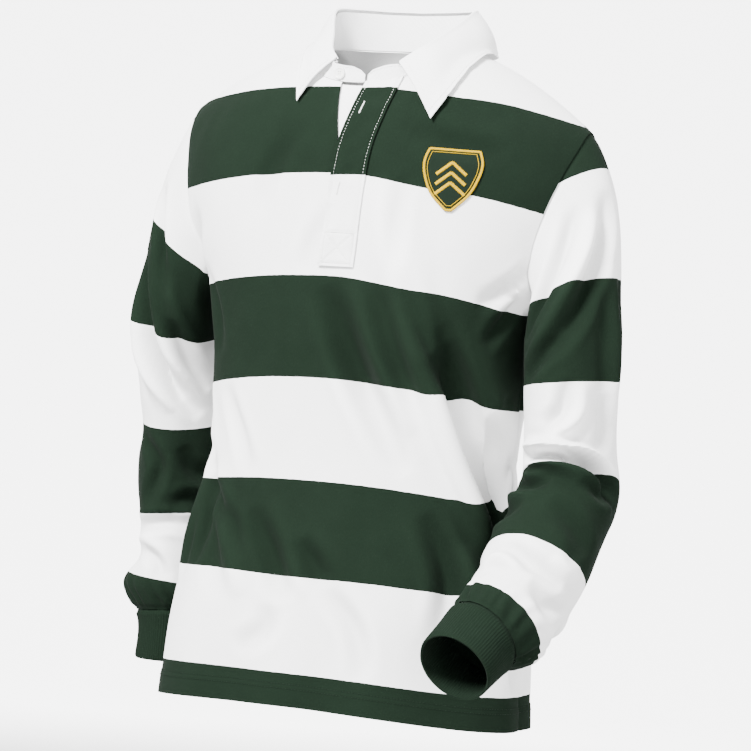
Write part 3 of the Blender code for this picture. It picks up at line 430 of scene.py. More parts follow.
SATIN_LIFT = 0.0002
BUTTON_SIZE = (0.0065, 0.0020)
BUTTON_RIM = 0.0014
BUTTON_HOLLOW = 0.0006
BUTTON_HOLE = (0.0006, 0.006, 0.0012)  # radius, cutter, how far off the middle
BUTTON_EDGE = 0.0003
BUTTONHOLE_IN = 0.0115
BUTTONHOLE_HALF = 0.0065
BUTTONHOLE_LEAN = 0.18
BUTTONHOLE_SLOT = 0.0004
BUTTONHOLE_OUT = 0.0014
BUTTONHOLE_STITCH = (0.0011, 0.0007)
BUTTONHOLE_PITCH = 0.0006

# ---- studio -------------------------------------------------------------------------------
CAMERA_TURN = 25.0
CAMERA_ROLL = 4.0
CAMERA_LENS = 131.0
CAMERA_SENSOR = 36.0
CAMERA_DISTANCE = 3.0
CAMERA_SHIFT = 0.006
CAMERA_FARTHEST = 60.0
MIDDLE_HEIGHT = -0.36
FLOOR_HEIGHT = -1.6
FLOOR_SOFTNESS = 0.35
BOWL_RADIUS = 7.0
GLOW = (0.50, 4.6)                    # the paper's own light all round, and more behind the shirt
GLOW_EDGE = (0.72, 0.20)              # where the brighter patch starts, and its edge
PAPER_GREYS = (0.33, 0.35)
AIR_LIGHT = 0.3
LIGHTS = (
    ("key", (-0.7, -2.9, 2.1), 1.0, 780.0),
    ("fill", (2.8, -2.2, 0.0), 2.4, 110.0),
    ("over", (0.2, 0.9, 2.8), 1.6, 60.0),
    ("rim", (2.8, 1.0, 0.3), 1.2, 50.0),
    ("back", (-0.9, 3.1, 1.3), 1.6, 170.0),
)


def column(table, names, name):
    return np.array([row[names.index(name)] for row in table], float)


def smooth_step(value):
    value = np.clip(value, 0.0, 1.0)
    return value * value * (3.0 - 2.0 * value)


def through(knots, values, at):
    """A smooth curve through values at rising knots, read at other places."""
    knots = np.asarray(knots, float)
    values = np.asarray(values, float)
    at = np.clip(np.asarray(at, float), knots[0], knots[-1])
    flat = values.ndim == 1
    values = values.reshape(len(knots), -1)
    slope = np.gradient(values, knots, axis=0)
    index = np.clip(np.searchsorted(knots, at, side="right") - 1, 0, len(knots) - 2)
    width = knots[index + 1] - knots[index]
    t = ((at - knots[index]) / width)[..., None]
    width = width[..., None]
    made = (
        (2 * t**3 - 3 * t**2 + 1) * values[index]
        + (t**3 - 2 * t**2 + t) * width * slope[index]
        + (-2 * t**3 + 3 * t**2) * values[index + 1]
        + (t**3 - t**2) * width * slope[index + 1]
    )
    return made[..., 0] if flat else made


def unit(vectors):
    return vectors / np.maximum(np.linalg.norm(vectors, axis=-1, keepdims=True), 1e-12)


def running_length(points):
    steps = np.linalg.norm(np.diff(points, axis=0), axis=1)
    return np.concatenate([[0.0], np.cumsum(steps)])


def body_value(name, height):
    return through(
        column(BODY, BODY_COLUMNS, "height"), column(BODY, BODY_COLUMNS, name), height
    )


def placket_value(name, height):
    return through(
        column(PLACKET, PLACKET_COLUMNS, "height"), column(PLACKET, PLACKET_COLUMNS, name), height
    )


def shoulder_height(x, back):
    drop = np.where(x >= 0, SHOULDER_DROP_LEFT, SHOULDER_DROP_RIGHT)
    along = (np.abs(x) - NECK_HALF_WIDTH) / (SHOULDER_TIP_X - NECK_HALF_WIDTH)
    crown = NECK_BACK_CROWN if back else 0.0
    inside = crown * (1.0 - np.clip(np.abs(x) / NECK_HALF_WIDTH, 0.0, 1.0) ** 2)
    return inside - drop * np.clip(along, 0.0, 1.0) ** SHOULDER_CURVE


def half_width(x_sign, height):
    return np.where(
        x_sign >= 0, body_value("left_half", height), body_value("right_half", height)
    )


def edge_x(x_sign, height, back):
    """Where a panel ends: at the side seam, or at the armhole above the underarm."""
    reach = through(
        column(ARMHOLE, ARMHOLE_COLUMNS, "height"),
        column(ARMHOLE, ARMHOLE_COLUMNS, "back_reach" if back else "front_reach"),
        height,
    )
    return half_width(x_sign, height) * np.where(height < UNDERARM_HEIGHT, 1.0, reach)


def fold_depth(angle_deg, height):
    """How far the largest folds draw the cloth in."""
    depth = np.zeros(np.broadcast(angle_deg, height).shape)
    metres_per_degree = math.radians(FOLD_RADIUS)
    for from_deg, from_height, to_deg, to_height, reach, deep in FOLDS:
        run = np.array([(to_deg - from_deg) * metres_per_degree, to_height - from_height])
        dx = (angle_deg - from_deg) * metres_per_degree
        dz = height - from_height
        along = (dx * run[0] + dz * run[1]) / (run @ run)
        across = np.abs(dx * run[1] - dz * run[0]) / math.hypot(*run)
        fade = smooth_step(along / FOLD_FADE) * smooth_step((1.0 - along) / FOLD_FADE)
        depth = depth + deep * fade * (1.0 - smooth_step(across / reach))
    return depth


def body_round(x, height, back):
    """Share of the half width, share of the depth, and degrees round from the front's middle."""
    share = np.clip(np.abs(x) / half_width(np.sign(x), height), 0.0, 1.0)
    full = (1.0 - share**SECTION_POWER) ** (1.0 / SECTION_POWER)
    angle = np.degrees(np.arctan2(share, np.maximum(full, 1e-9))) * np.where(x < 0, -1, 1)
    if back:
        angle = np.where(x < 0, -180.0, 180.0) - angle
    return share, full, angle


def body_point(x, height, back):
    side = body_value("side_y", height)
    far = body_value("back_y" if back else "front_y", height)
    share, full, angle = body_round(x, height, back)
    y = side + (far - side) * full
    inwards = fold_depth(angle, height)
    x_made = x - inwards * np.sign(x) * share
    y = y - inwards * full * (1.0 if back else -1.0)
    rounding = SHOULDER_ROUND_BACK if back else SHOULDER_ROUND_FRONT
    below = np.clip((shoulder_height(x, back) - height) / rounding, 0.0, 1.0)
    turn = np.sqrt(1.0 - (1.0 - below) ** 2)
    y = SHOULDER_RIDGE_Y + (y - SHOULDER_RIDGE_Y) * turn
    return np.stack(np.broadcast_arrays(x_made, y, height), axis=-1)


def neck_height(x, back):
    low = NECK_BACK_HEIGHT if back else NECK_FRONT_HEIGHT
    share = np.clip(np.abs(x) / NECK_HALF_WIDTH, 0.0, 1.0)
    return low * (1.0 - share ** NECK_CURVE[0]) ** NECK_CURVE[1]


def over_body(x, height, out, back=False):
    """Points at a distance outside the form, and the normals there."""
    x = np.asarray(x, float)
    height = np.asarray(height, float)
    point = body_point(x, height, back)
    across = body_point(x + PROBE, height, back) - body_point(x - PROBE, height, back)
    up = body_point(x, height + PROBE, back) - body_point(x, height - PROBE, back)
    normal = unit(np.cross(across, up)) * (-1.0 if back else 1.0)
    return point + normal * np.asarray(out, float)[..., None], normal


# ---- creases ------------------------------------------------------------------------------
def crease_depth(creases, turns, along, radius):
    """How far the creases draw the cloth in at places on it: turns round it and metres along."""
    depth = np.zeros(turns.shape)
    share = np.linspace(0.0, 1.0, CREASE_PARTS + 1)
    for knots, width, deep in creases:
        knots = np.array(knots, float)
        path = through(np.linspace(0.0, 1.0, len(knots)), knots, share)
        run = np.diff(path, axis=0) * (2 * math.pi * radius, 1.0)
        across = (turns[..., None] - path[:-1, 0] + 0.5) % 1.0 - 0.5
        across = across * 2 * math.pi * radius
        down = along[..., None] - path[:-1, 1]
        part = np.clip((across * run[:, 0] + down * run[:, 1]) / (run**2).sum(axis=1), 0.0, 1.0)
        far = (across - part * run[:, 0]) ** 2 + (down - part * run[:, 1]) ** 2
        nearest = np.argmin(far, axis=-1)[..., None]
        away = np.sqrt(np.take_along_axis(far, nearest, axis=-1)[..., 0]) / width
        at = (nearest + np.take_along_axis(part, nearest, axis=-1))[..., 0] / CREASE_PARTS
        fade = np.sin(math.pi * at) ** CREASE_FADE
        heap, heap_at, heap_breadth = CREASE_SHOULDER
        dip = np.exp(-(away**2)) - heap * np.exp(-((away - heap_at) ** 2) / heap_breadth)
        depth += deep * fade * dip
    return depth


def unevenness(points, size, stretch, seed):
    """Soft random rise and fall over the cloth, from -1 to 1."""
    flat = points.reshape(-1, 3) / size * np.array([1.0, 1.0, stretch])
    made = [noise.noise(Vector(point) + Vector((seed, 2.0 * seed, 0.0))) for point in flat]
    return np.array(made).reshape(points.shape[:-1])


def uneven_sum(points, layers):
    """The first layer of unevenness and the second one over it."""
    (deep, *broad), (shallow, *narrow) = layers
    return deep * unevenness(points, *broad) + shallow * unevenness(points, *narrow)


def body_sunk(x, height, back):
    """How far the cloth lies inside the form: its creases, soft waves and seams."""
    angle = body_round(x, height, back)[2]
    if back:
        angle = np.where(angle < 0, angle + 360.0, angle)
    creases = [
        (tuple((degrees / 360.0, at) for degrees, at in knots), width, deep)
        for knots, width, deep in BODY_CREASES
    ]
    settings = bpy.context.scene.rugby_shirt
    depth = crease_depth(creases, angle / 360.0, height, BODY_RADIUS) * settings.creasing
    depth += uneven_sum(body_point(x, height, back), BODY_UNEVEN)
    settled = smooth_step((shoulder_height(x, back) - height) / SHOULDER_SETTLE)
    round_by = np.radians(angle)
    waves, bend, bends = HEM_WAVES
    wave = HEM_WAVE * np.sin(round_by * waves + bend * np.sin(round_by * bends))
    low_down = 1.0 - smooth_step((height - HEM_HEIGHT) / HEM_WAVE_REACH)
    depth += wave * low_down * HEM_WAVE_SHARE
    return depth * settled


def stripe_sag(angle, over_hem):
    """How far the stripes sag at places round the body."""
    by_height = through(SAG_HEIGHTS, np.array(STRIPE_SAG), over_hem)
    made = np.zeros(np.shape(angle))
    for index in range(len(SAG_ANGLES)):
        hat = np.interp(angle, SAG_ANGLES, np.eye(len(SAG_ANGLES))[index])
        made += smooth_step(hat) * by_height[..., index]
    return made


def hem_turn(over_hem):
    """The turned-up hem stands a little proud, with a step along its stitching."""
    return HEM_PROUD * (1.0 - smooth_step((over_hem - HEM_STEP[0]) / HEM_STEP[1]))


# ---- the panels ---------------------------------------------------------------------------
def column_x(side, spread, height, back):
    start = SLIT_LEFT if side > 0 else placket_value("slit_right", NECK_FRONT_HEIGHT)
    return start + spread * (side * edge_x(side, height, back) - start)


def panel_columns(side, back):
    tip = -(SHOULDER_DROP_LEFT if side > 0 else SHOULDER_DROP_RIGHT)
    start = column_x(side, 0.0, tip, back)
    tip_x = column_x(side, 1.0, tip, back)
    corner = (side * NECK_HALF_WIDTH - start) / (tip_x - start)
    inner = np.linspace(0.0, 1.0, NECK_FINE + 1) ** NECK_CROWDING * corner
    outer = corner + (1.0 - corner) * np.sin(np.linspace(0.0, math.pi / 2, SHOULDER_FINE + 1)[1:])
    spread = np.concatenate([inner, outer])
    x = column_x(side, spread, tip, back)
    top = np.where(
        np.arange(len(spread)) > NECK_FINE, shoulder_height(x, back), neck_height(x, back)
    )
    return spread, top


def slit_shift(side, spread, height, back):
    if back or side > 0:
        return 0.0 * height
    moved = placket_value("slit_right", height) - placket_value("slit_right", NECK_FRONT_HEIGHT)
    return moved * (1.0 - spread / spread[NECK_FINE]).clip(0.0, 1.0)


def panel_half(side, back):
    """x, height and height over the hem's edge, by rows from the hem and columns outwards."""
    spread, top = panel_columns(side, back)
    tip = top[-1]
    xs, heights_made, rises = [], [], []
    flat = column_x(side, spread, HEM_HEIGHT, back)
    rise = 0.0 * flat if back else HEM_FRONT_RISE * (1.0 - (flat / flat[-1]) ** 2)
    for share in np.linspace(0.0, 1.0, LOW_FINE + 1)[:-1]:
        heights = HEM_HEIGHT + rise + (UNDERARM_HEIGHT - HEM_HEIGHT - rise) * share
        xs.append(column_x(side, spread, heights, back) + slit_shift(side, spread, heights, back))
        heights_made.append(heights)
        rises.append(rise)
    knots = np.arange(len(HIGH_ROWS))
    fine = np.interp(np.linspace(0, len(HIGH_ROWS) - 1, HIGH_FINE + 1), knots, HIGH_ROWS)
    for share in fine:
        lift = ROW_LIFT * smooth_step(spread / ROW_LIFT_SPREAD)
        climb = share + (1.0 - share) * share * lift
        heights = UNDERARM_HEIGHT + (top - UNDERARM_HEIGHT) * climb
        x = column_x(side, spread, np.minimum(heights, tip), back)
        xs.append(x + slit_shift(side, spread, heights, back))
        heights_made.append(heights)
        rises.append(rise)
    return np.array([xs, heights_made, np.array(heights_made) - HEM_HEIGHT - np.array(rises)])


def make_panel(back):
    """A panel's points, outward normals, cloth places and how sunk each point is."""
    right, left = panel_half(-1, back)[:, :, ::-1], panel_half(1, back)
    share = np.linspace(0.0, 1.0, SLIT_FINE + 1)[1:-1]
    middle = right[:, :, -1:] * (1.0 - share) + left[:, :, :1] * share
    x, height, over_hem = np.concatenate([right, middle, left], axis=2)
    point, normal = over_body(x, height, 0.0, back)
    sunk = body_sunk(x, height, back)
    ends = np.minimum(np.arange(x.shape[1]), np.arange(x.shape[1])[::-1])
    seam = SIDE_SEAM[0] * np.exp(-(ends / SIDE_SEAM[1]) ** 2)[None, :] * np.ones_like(x)
    point = point - normal * (sunk + seam - hem_turn(over_hem))[..., None]
    across = running_length(point[LOW_FINE // 2])
    cloth = over_hem + stripe_sag(body_round(x, height, back)[2], over_hem)
    uv = np.stack([np.broadcast_to(across - across.mean(), x.shape), cloth], axis=-1)
    # sunk, with the side seam's dent, also goes to the jersey finish as painted shade.
    return {"point": point, "normal": normal, "uv": uv, "sunk": sunk + seam}


@lru_cache(maxsize=None)
def body_forms():
    """Front and back with their shared edges drawn together, made once."""
    front, back = make_panel(False), make_panel(True)
    for end in (0, -1):
        shared = unit(front["normal"][:, end] + back["normal"][:, end])
        low = slice(0, LOW_FINE + 1)
        middle = (front["point"][low, end] + back["point"][low, end]) / 2
        for panel in (front, back):
            panel["point"][low, end] = middle
            panel["normal"][low, end] = shared[low]
    columns = front["point"].shape[1]
    shoulder = np.zeros(columns, bool)
    shoulder[: SHOULDER_FINE + 1] = True
    shoulder[-SHOULDER_FINE - 1:] = True
    middle = (front["point"][-1, shoulder] + back["point"][-1, shoulder]) / 2
    middle[:, 2] -= SHOULDER_SEAM
    for panel in (front, back):
        panel["point"][-1, shoulder] = middle
    return front, back


# ---- the sleeves --------------------------------------------------------------------------
def sleeve_section(rows, at, turns):
    rows = np.array(rows, float)
    side = math.copysign(1.0, rows[0, 0])
    knots = running_length(rows[:, :3])
    place = np.interp(at, np.arange(len(rows)), knots)
    value = through(knots, rows, np.array([place]))[0]
    span = np.array([-SLEEVE_TURN_SPAN, SLEEVE_TURN_SPAN])
    near = through(knots, rows[:, :3], place + span)
    down = unit(near[1] - near[0])
    out = np.array([side, 0.0, 0.0])
    out = unit(out - (out @ down) * down)
    ahead = np.array([0.0, -1.0, 0.0])
    ahead = unit(ahead - (ahead @ down) * down - (ahead @ out) * out)
    angle = 2 * math.pi * np.asarray(turns)[:, None]
    lean = math.tan(math.radians(value[5]))
    sideways = -value[3] * np.cos(angle)
    points = value[:3] + sideways * (out - lean * down) + value[4] * np.sin(angle) * ahead
    return points, down, place, (-sideways * lean)[:, 0]


def seam_turns(seam):
    lengths = running_length(np.concatenate([seam, seam[:1]]))
    half = int(np.argmax(seam[:, 2]))
    return np.where(
        np.arange(len(seam)) <= half,
        0.5 * lengths[:-1] / lengths[half],
        0.5 + 0.5 * (lengths[:-1] - lengths[half]) / (lengths[-1] - lengths[half]),
    )


def loop_normals(grid, side):
    around = np.roll(grid, -1, axis=1) - np.roll(grid, 1, axis=1)
    return unit(np.cross(around, np.gradient(grid, axis=0))) * -side


def sheet_normals(grid):
    return unit(np.cross(np.gradient(grid, axis=1), np.gradient(grid, axis=0)))


def round_waves(turns, waves):
    """The sum of a few waves round a sleeve: size, how many, and where each starts."""
    return sum(size * np.sin(2 * math.pi * (many * turns + start)) for size, many, start in waves)


@lru_cache(maxsize=None)
def sleeve_form(side_name):
    """A sleeve's points, normals, cloth places and how sunk each point is."""
    rows, creases, edges = {
        "left": (LEFT_SLEEVE, LEFT_CREASES, LEFT_STRIPE_EDGES),
        "right": (RIGHT_SLEEVE, RIGHT_CREASES, RIGHT_STRIPE_EDGES),
    }[side_name]
    side = math.copysign(1.0, rows[0][0])
    front, back = body_forms()
    end = -1 if side > 0 else 0
    up, down_back = front["point"][LOW_FINE:, end], back["point"][LOW_FINE:, end][::-1]
    seam = np.concatenate([up, down_back[1:-1]])
    count = len(seam)
    even = np.arange(count) / count
    uneven = seam_turns(seam)
    first, down, _, leant = sleeve_section(rows, 0.0, uneven)
    steep = np.interp(uneven, *CAP_STEEPNESS)
    toward = unit(np.stack([np.full(count, side), np.zeros(count), -steep], axis=-1))
    reach = np.linalg.norm(first - seam, axis=1)[:, None]
    made, turns_made, places, level = [], [], [], []
    for step in range(CAP_FINE):
        t = (step / CAP_FINE) ** CAP_CROWDING
        made.append(
            (2 * t**3 - 3 * t**2 + 1) * seam
            + (t**3 - 2 * t**2 + t) * reach * toward
            + (-2 * t**3 + 3 * t**2) * first
            + (t**3 - t**2) * reach * down * CAP_END_PULL
        )
        turns_made.append(uneven)
        level.append(leant * t**2)
    for step in range(SLEEVE_FINE + 1):
        share = step / SLEEVE_FINE
        turns = uneven + (even - uneven) * smooth_step(share * 2.0)
        points, _, place, leant = sleeve_section(rows, share * (len(rows) - 2), turns)
        made.append(points)
        level.append(leant)
        turns_made.append(turns)
        places.append(np.full(count, place))
    grid, turns = np.array(made), np.array(turns_made)
    cap = np.linalg.norm(np.diff(grid[: CAP_FINE + 1], axis=0), axis=2)
    cap = -np.cumsum(cap[::-1], axis=0)[::-1]
    place = np.concatenate([cap, places])
    total = place[-1, 0]

    settings = bpy.context.scene.rugby_shirt
    sunk = crease_depth(creases, turns, place, SLEEVE_RADIUS) * settings.creasing
    sunk += uneven_sum(grid, SLEEVE_UNEVEN)
    warped = turns + round_waves(turns, SLEEVE_WARP)
    near_cuff = np.clip((place - (total - PLEAT_REACH)) / PLEAT_REACH, 0.0, 1.0)
    size = PLEAT_LEAST + round_waves(turns, PLEAT_SIZE)
    bend, bends = PLEAT_WANDER
    pleats = np.sin(2 * math.pi * GATHERS * warped + bend * np.sin(place * bends))
    lost, lost_from, lost_over = PLEAT_END
    held = 1.0 - lost * smooth_step((near_cuff - lost_from) / lost_over)
    sunk += PLEAT_DEPTH * size * pleats * smooth_step(near_cuff) * held
    sunk *= smooth_step((place - place[0]) / SLEEVE_SETTLE)
    normal = loop_normals(grid, side)
    seam_dip = ARMHOLE_SEAM[0] * np.exp(-((place - place[0]) / ARMHOLE_SEAM[1]) ** 2)
    cuff_dip = CUFF_DIP[0] * smooth_step((near_cuff - CUFF_DIP[1]) / CUFF_DIP[2])
    grid = grid - normal * (sunk + cuff_dip)[..., None]
    grid[1:] -= normal[1:] * seam_dip[1:, :, None]
    along = place + STRIPE_LEVEL * np.array(level)
    cloth = np.interp(along, edges, np.arange(len(edges)) * settings.stripe)
    below = np.maximum(edges[0] - along, 0.0)
    beyond = np.maximum(along - edges[-1], 0.0)
    around = turns * 2 * math.pi * SLEEVE_RADIUS
    uv = np.stack([around, cloth - below + beyond], axis=-1)
    # sunk, with the armhole seam's dip, also goes to the jersey finish as painted shade.
    return {
        "point": grid, "normal": loop_normals(grid, side), "uv": uv, "sunk": sunk + seam_dip,
        "side": side,
    }


def cuff_form(side_name):
    rows = LEFT_SLEEVE if side_name == "left" else RIGHT_SLEEVE
    side = math.copysign(1.0, rows[0][0])
    ribs = bpy.context.scene.rugby_shirt.ribs
    count = ribs * RIB_POINTS
    turns = np.arange(count) / count
    last = len(rows) - 2
    made = []
    for step in range(CUFF_FINE + 1):
        points, down, _, _ = sleeve_section(rows, last + step / CUFF_FINE, turns)
        made.append(points - (down * CUFF_LAP if step == 0 else 0.0))
    grid = np.array(made)
    normal = loop_normals(grid, side)
    along = np.linspace(0.0, 1.0, CUFF_FINE + 1)[:, None]
    wander = RIB_WANDER[0] * np.sin(along * RIB_WANDER[1] + turns * RIB_WANDER[2])
    rib = 0.5 - 0.5 * np.cos(2 * math.pi * (turns * ribs + wander))
    ends = smooth_step(along / RIB_ENDS[0]) * smooth_step((1.0 - along) / RIB_ENDS[1])
    slack = CUFF_SLACK[0] * unevenness(grid, *CUFF_SLACK[1:])
    tuck = CUFF_TUCK[0] * (1.0 - smooth_step(along / CUFF_TUCK[1]))
    roll = CUFF_ROLL[0] * (1.0 - smooth_step((1.0 - along) / CUFF_ROLL[1]))
    sunk = RIB_DEPTH * (1.0 - rib**RIB_SHARPNESS) * ends
    grid = grid - normal * (sunk + slack * ends + tuck + roll)[..., None]
    uv = np.stack(np.broadcast_arrays(turns * CUFF_ROUND, along * CUFF_DEEP), axis=-1)
    # The furrows' depth goes out doubled, for the rib finish's painted shade in them.
    return {"point": grid, "normal": normal, "uv": uv, "sunk": sunk * 2.0, "side": side}


# ---- the collar ---------------------------------------------------------------------------
def neckline(side):
    front, back = body_forms()
    first = NECK_FINE + SHOULDER_FINE
    if side > 0:
        first += SLIT_FINE
        ahead = front["point"][-1, first: first + NECK_FINE + 1]
        behind = back["point"][-1, first: first + NECK_FINE + 1]
    else:
        ahead = front["point"][-1, first - NECK_FINE: first + 1][::-1]
        behind = back["point"][-1, first - NECK_FINE: first + 1][::-1]
    centre = body_point(np.array(0.0), np.array(NECK_BACK_HEIGHT), back=True)
    return np.concatenate([ahead, behind[::-1][1:], centre[None]])


def half_stand(side, table):
    end_x = STAND_ENDS_X[1] if side > 0 else STAND_ENDS_X[0]
    start = neckline(side)
    lead_x = np.linspace(end_x, start[0, 0], LEAD_FINE[side > 0])[:-1]
    lead = body_point(lead_x, neck_height(lead_x, back=False), back=False)
    base = np.concatenate([lead, start])
    centre = body_point(np.array([0.0]), np.array([NECK_FRONT_HEIGHT]), back=False)[0]
    lengths = running_length(base)
    lead_in = np.linalg.norm(base[0] - centre) * np.sign((base[0] - centre)[0] * side)
    along = (lengths + lead_in) / (lengths[-1] + lead_in)
    rows = np.array(table, float)
    fold = through(rows[:, 0], rows[:, 1:4], along)
    short = np.array(STAND_FRONT, float)
    low = base + np.array([0.0, 0.0, 1.0]) * np.interp(
        lengths / lengths[-1] + short[0, 0], short[:, 0], short[:, 1]
    )[:, None]
    turn_from, turn_to = STAND_TURN
    folded = smooth_step((along - turn_from) / (turn_to - turn_from))[:, None]
    return base, low * (1 - folded) + fold * folded


@lru_cache(maxsize=None)
def stand_form():
    """The collar's stand, from the neckline up to the fold."""
    bases, folds = [], []
    for side, table in ((-1, COLLAR_RIGHT), (1, COLLAR_LEFT)):
        base, fold = half_stand(side, table)
        bases.append(base if side < 0 else base[::-1][1:])
        folds.append(fold if side < 0 else fold[::-1][1:])
    low = np.concatenate(bases) + np.array([0.0, 0.0, STAND_GAP])
    top = np.concatenate(folds) - np.array([0.0, 0.0, SEAM])
    climbs = np.linspace(0.0, 1.0, STAND_FINE)
    grid = np.array([low * (1 - climb) + top * climb for climb in climbs])
    out = -sheet_normals(grid)
    out[..., 2] = 0.0
    out = unit(out)
    pucker = STAND_PUCKER[0] * unevenness(grid, *STAND_PUCKER[1:])
    pucker = pucker * np.sin(math.pi * climbs)[:, None]
    grid = grid + out * pucker[..., None]
    along = running_length(low)
    height = np.linalg.norm(top - low, axis=1) * climbs[:, None]
    uv = np.stack(np.broadcast_arrays(along, height), axis=-1)
    # The pucker goes out with its sign turned, for the twill's painted highlight where it bulges and
    # painted shade where it sinks.
    return {"point": grid, "normal": out, "uv": uv, "sunk": -pucker}


def clear_of(points, surface, normals, gap):
    """The points, each moved out to a gap from the nearest part of a surface."""
    flat = points.reshape(-1, 3).copy()
    for _ in range(CLEARING_ROUNDS):
        for index, point in enumerate(flat):
            away = point - surface
            near = np.argpartition((away**2).sum(axis=1), NEAR_POINTS)[:NEAR_POINTS]
            short = gap - (away[near] * normals[near]).sum(axis=1)
            worst = int(np.argmax(short))
            if short[worst] > 0:
                flat[index] = point + normals[near[worst]] * short[worst]
    return flat.reshape(points.shape)


def softened(grid, times):
    """The grid with each inner point drawn to the mean of its neighbours."""
    for _ in range(times):
        mean = (grid[:-2, 1:-1] + grid[2:, 1:-1] + grid[1:-1, :-2] + grid[1:-1, 2:]) / 4
        grid[1:-1, 1:-1] = (grid[1:-1, 1:-1] + mean) / 2
    return grid


@lru_cache(maxsize=None)
def fall_form():
    """The collar's fall: rolled over the fold, then down to its edge."""
    up = np.array([0.0, 0.0, 1.0])
    folds, edges = [], []
    for table in (COLLAR_RIGHT, COLLAR_LEFT):
        rows = np.array(table, float)
        along = np.linspace(rows[0, 0], 1.0, FALL_FINE)
        folds.append(through(rows[:, 0], rows[:, 1:4], along))
        edges.append(through(rows[:, 0], rows[:, 4:7], along))
    fold = np.concatenate([folds[0], folds[1][::-1][1:]])
    edge = np.concatenate([edges[0], edges[1][::-1][1:]])
    out = unit(np.cross(np.gradient(fold, axis=0), up))
    out = out * np.sign((out * (edge - fold)).sum(axis=1, keepdims=True))
    inner = fold + up * FALL_LIFT[0] + out * FALL_OUT[0]
    start = fold + up * FALL_LIFT[1] + out * FALL_OUT[1]
    crown = fold + up * FALL_CROWN[0] + out * FALL_CROWN[1]
    rows = [
        inner * (1 - t) ** 2 + crown * 2 * t * (1 - t) + start * t**2
        for t in np.linspace(0, 1, FALL_ROLL_FINE)[:-1]
    ]
    rolled = len(rows)
    for share in np.linspace(0.0, 1.0, FALL_ROWS_FINE):
        bulge = FALL_BULGE * 4.0 * share * (1.0 - share)
        rows.append(start * (1 - share) + edge * share + unit(out + up) * bulge)
    grid = np.array(rows)
    front, back = body_forms()
    surface, normals = (
        np.concatenate([part[name][::2, ::2].reshape(-1, 3) for part in (front, back)])
        for name in ("point", "normal")
    )
    near = surface[:, 2] > FALL_LOWEST
    cleared = clear_of(grid[rolled + 2:], surface[near], unit(normals[near]), FALL_CLEARANCE)
    grid[rolled + 2:] = cleared
    grid[rolled + 1:] = softened(grid[rolled + 1:], FALL_SOFTENING)
    normal = sheet_normals(grid)
    share = np.clip((np.arange(len(grid)) - rolled) / (FALL_ROWS_FINE - 1), 0.0, 1.0)[:, None]
    wave = FALL_WAVE[0] * unevenness(grid, *FALL_WAVE[1:]) * np.sin(math.pi * share) ** 0.5
    grid = grid + normal * wave[..., None]
    width = np.linalg.norm(edge - fold, axis=1)
    uv = np.stack(np.broadcast_arrays(running_length(fold), share * width), axis=-1)
    # The wave goes out with its sign turned, for the twill's painted highlight where it rises and painted
    # shade where it sinks.
    return {"point": grid, "normal": normal, "uv": uv, "sunk": -wave, "rolled": rolled}


# ---- the plackets -------------------------------------------------------------------------
def over_cloth(x, height, out, back=False):
    """Points at a distance outside the creased cloth, and the form's normals there."""
    point, normal = over_body(x, height, 0.0, back)
    sunk = body_sunk(np.asarray(x, float), np.asarray(height, float), back)
    return point + normal * (np.asarray(out, float) - sunk)[..., None], normal


def strip_form(left_x, right_x, bottom, gaps, steps, rows, short=0.0):
    shares = np.linspace(0.0, 1.0, steps + 1)
    top_x = left_x(NECK_FRONT_HEIGHT) * (1 - shares) + right_x(NECK_FRONT_HEIGHT) * shares
    top = neck_height(top_x, back=False) - short
    xs, hs = [], []
    for climb in np.linspace(0.0, 1.0, rows + 1):
        heights = bottom + (top - bottom) * climb
        xs.append(left_x(heights) * (1 - shares) + right_x(heights) * shares)
        hs.append(heights)
    x, height = np.array(xs), np.array(hs)
    out = (gaps[0] * (1 - shares) + gaps[1] * shares) * np.ones_like(x)
    point, normal = over_cloth(x, height, out)
    over_hem = height - HEM_HEIGHT - HEM_FRONT_RISE
    cloth = over_hem + stripe_sag(body_round(x, height, False)[2], over_hem)
    uv = np.stack([x, cloth], axis=-1)
    return {"point": point, "normal": normal, "uv": uv, "sunk": 0.0 * x, "x": x, "height": height}


def free_edge(height):
    return placket_value("top_edge", height)


def under_edge(height):
    return placket_value("slit_right", height) - UNDER_PLACKET_LAP


@lru_cache(maxsize=None)
def placket_forms():
    """The top placket, drawn in along its stitching, and the one under it."""
    gaps = [gap + PLACKET_THICKNESS for gap in PLACKET_GAPS]
    top = strip_form(
        free_edge, lambda height: free_edge(height) + PLACKET_WIDTH,
        PLACKET_BOTTOM, gaps, *PLACKET_GRID,
    )
    edge = np.minimum(top["x"] - top["x"][:, :1], top["x"][:, -1:] - top["x"])
    edge = np.minimum(edge, top["height"] - PLACKET_BOTTOM)
    over_end = top["height"] - PLACKET_BOTTOM
    share = (top["x"] - top["x"][:, :1]) / PLACKET_WIDTH
    rise = over_end / PLACKET_WIDTH
    cross = np.minimum(np.abs(share - rise), np.abs(1.0 - share - rise)) * PLACKET_WIDTH
    cross = np.where(over_end < PLACKET_WIDTH * BOX_CROSS_SHARE, cross, PLACKET_WIDTH)
    box_top = np.abs(over_end - BOX_STITCH[1])
    sewn_down = np.minimum(np.minimum(np.abs(edge - EDGE_STITCH), box_top), cross)
    line = SEWN_LINE[0] * np.exp(-(sewn_down / SEWN_LINE[1]) ** 2)
    quilt = QUILT[0] * unevenness(top["point"], *QUILT[1:])
    top["point"] -= top["normal"] * (line + quilt * smooth_step(edge / QUILT_EDGE))[..., None]
    # The sewn lines' dents and the quilting go to the jersey finish as painted shade where they sink and
    # painted highlight where the quilting rises.
    top["sunk"] = line + quilt
    top["uv"][..., 1] += PLACKET_LEAN * (1.0 - np.linspace(0, 1, PLACKET_GRID[0] + 1))
    under_gap = -(JERSEY + UNDER_PLACKET_GAP)
    under = strip_form(
        under_edge, lambda height: under_edge(height) + UNDER_PLACKET_WIDTH,
        PLACKET_BOTTOM, (under_gap, under_gap), *UNDER_PLACKET_GRID, UNDER_PLACKET_SHORT,
    )
    return top, under


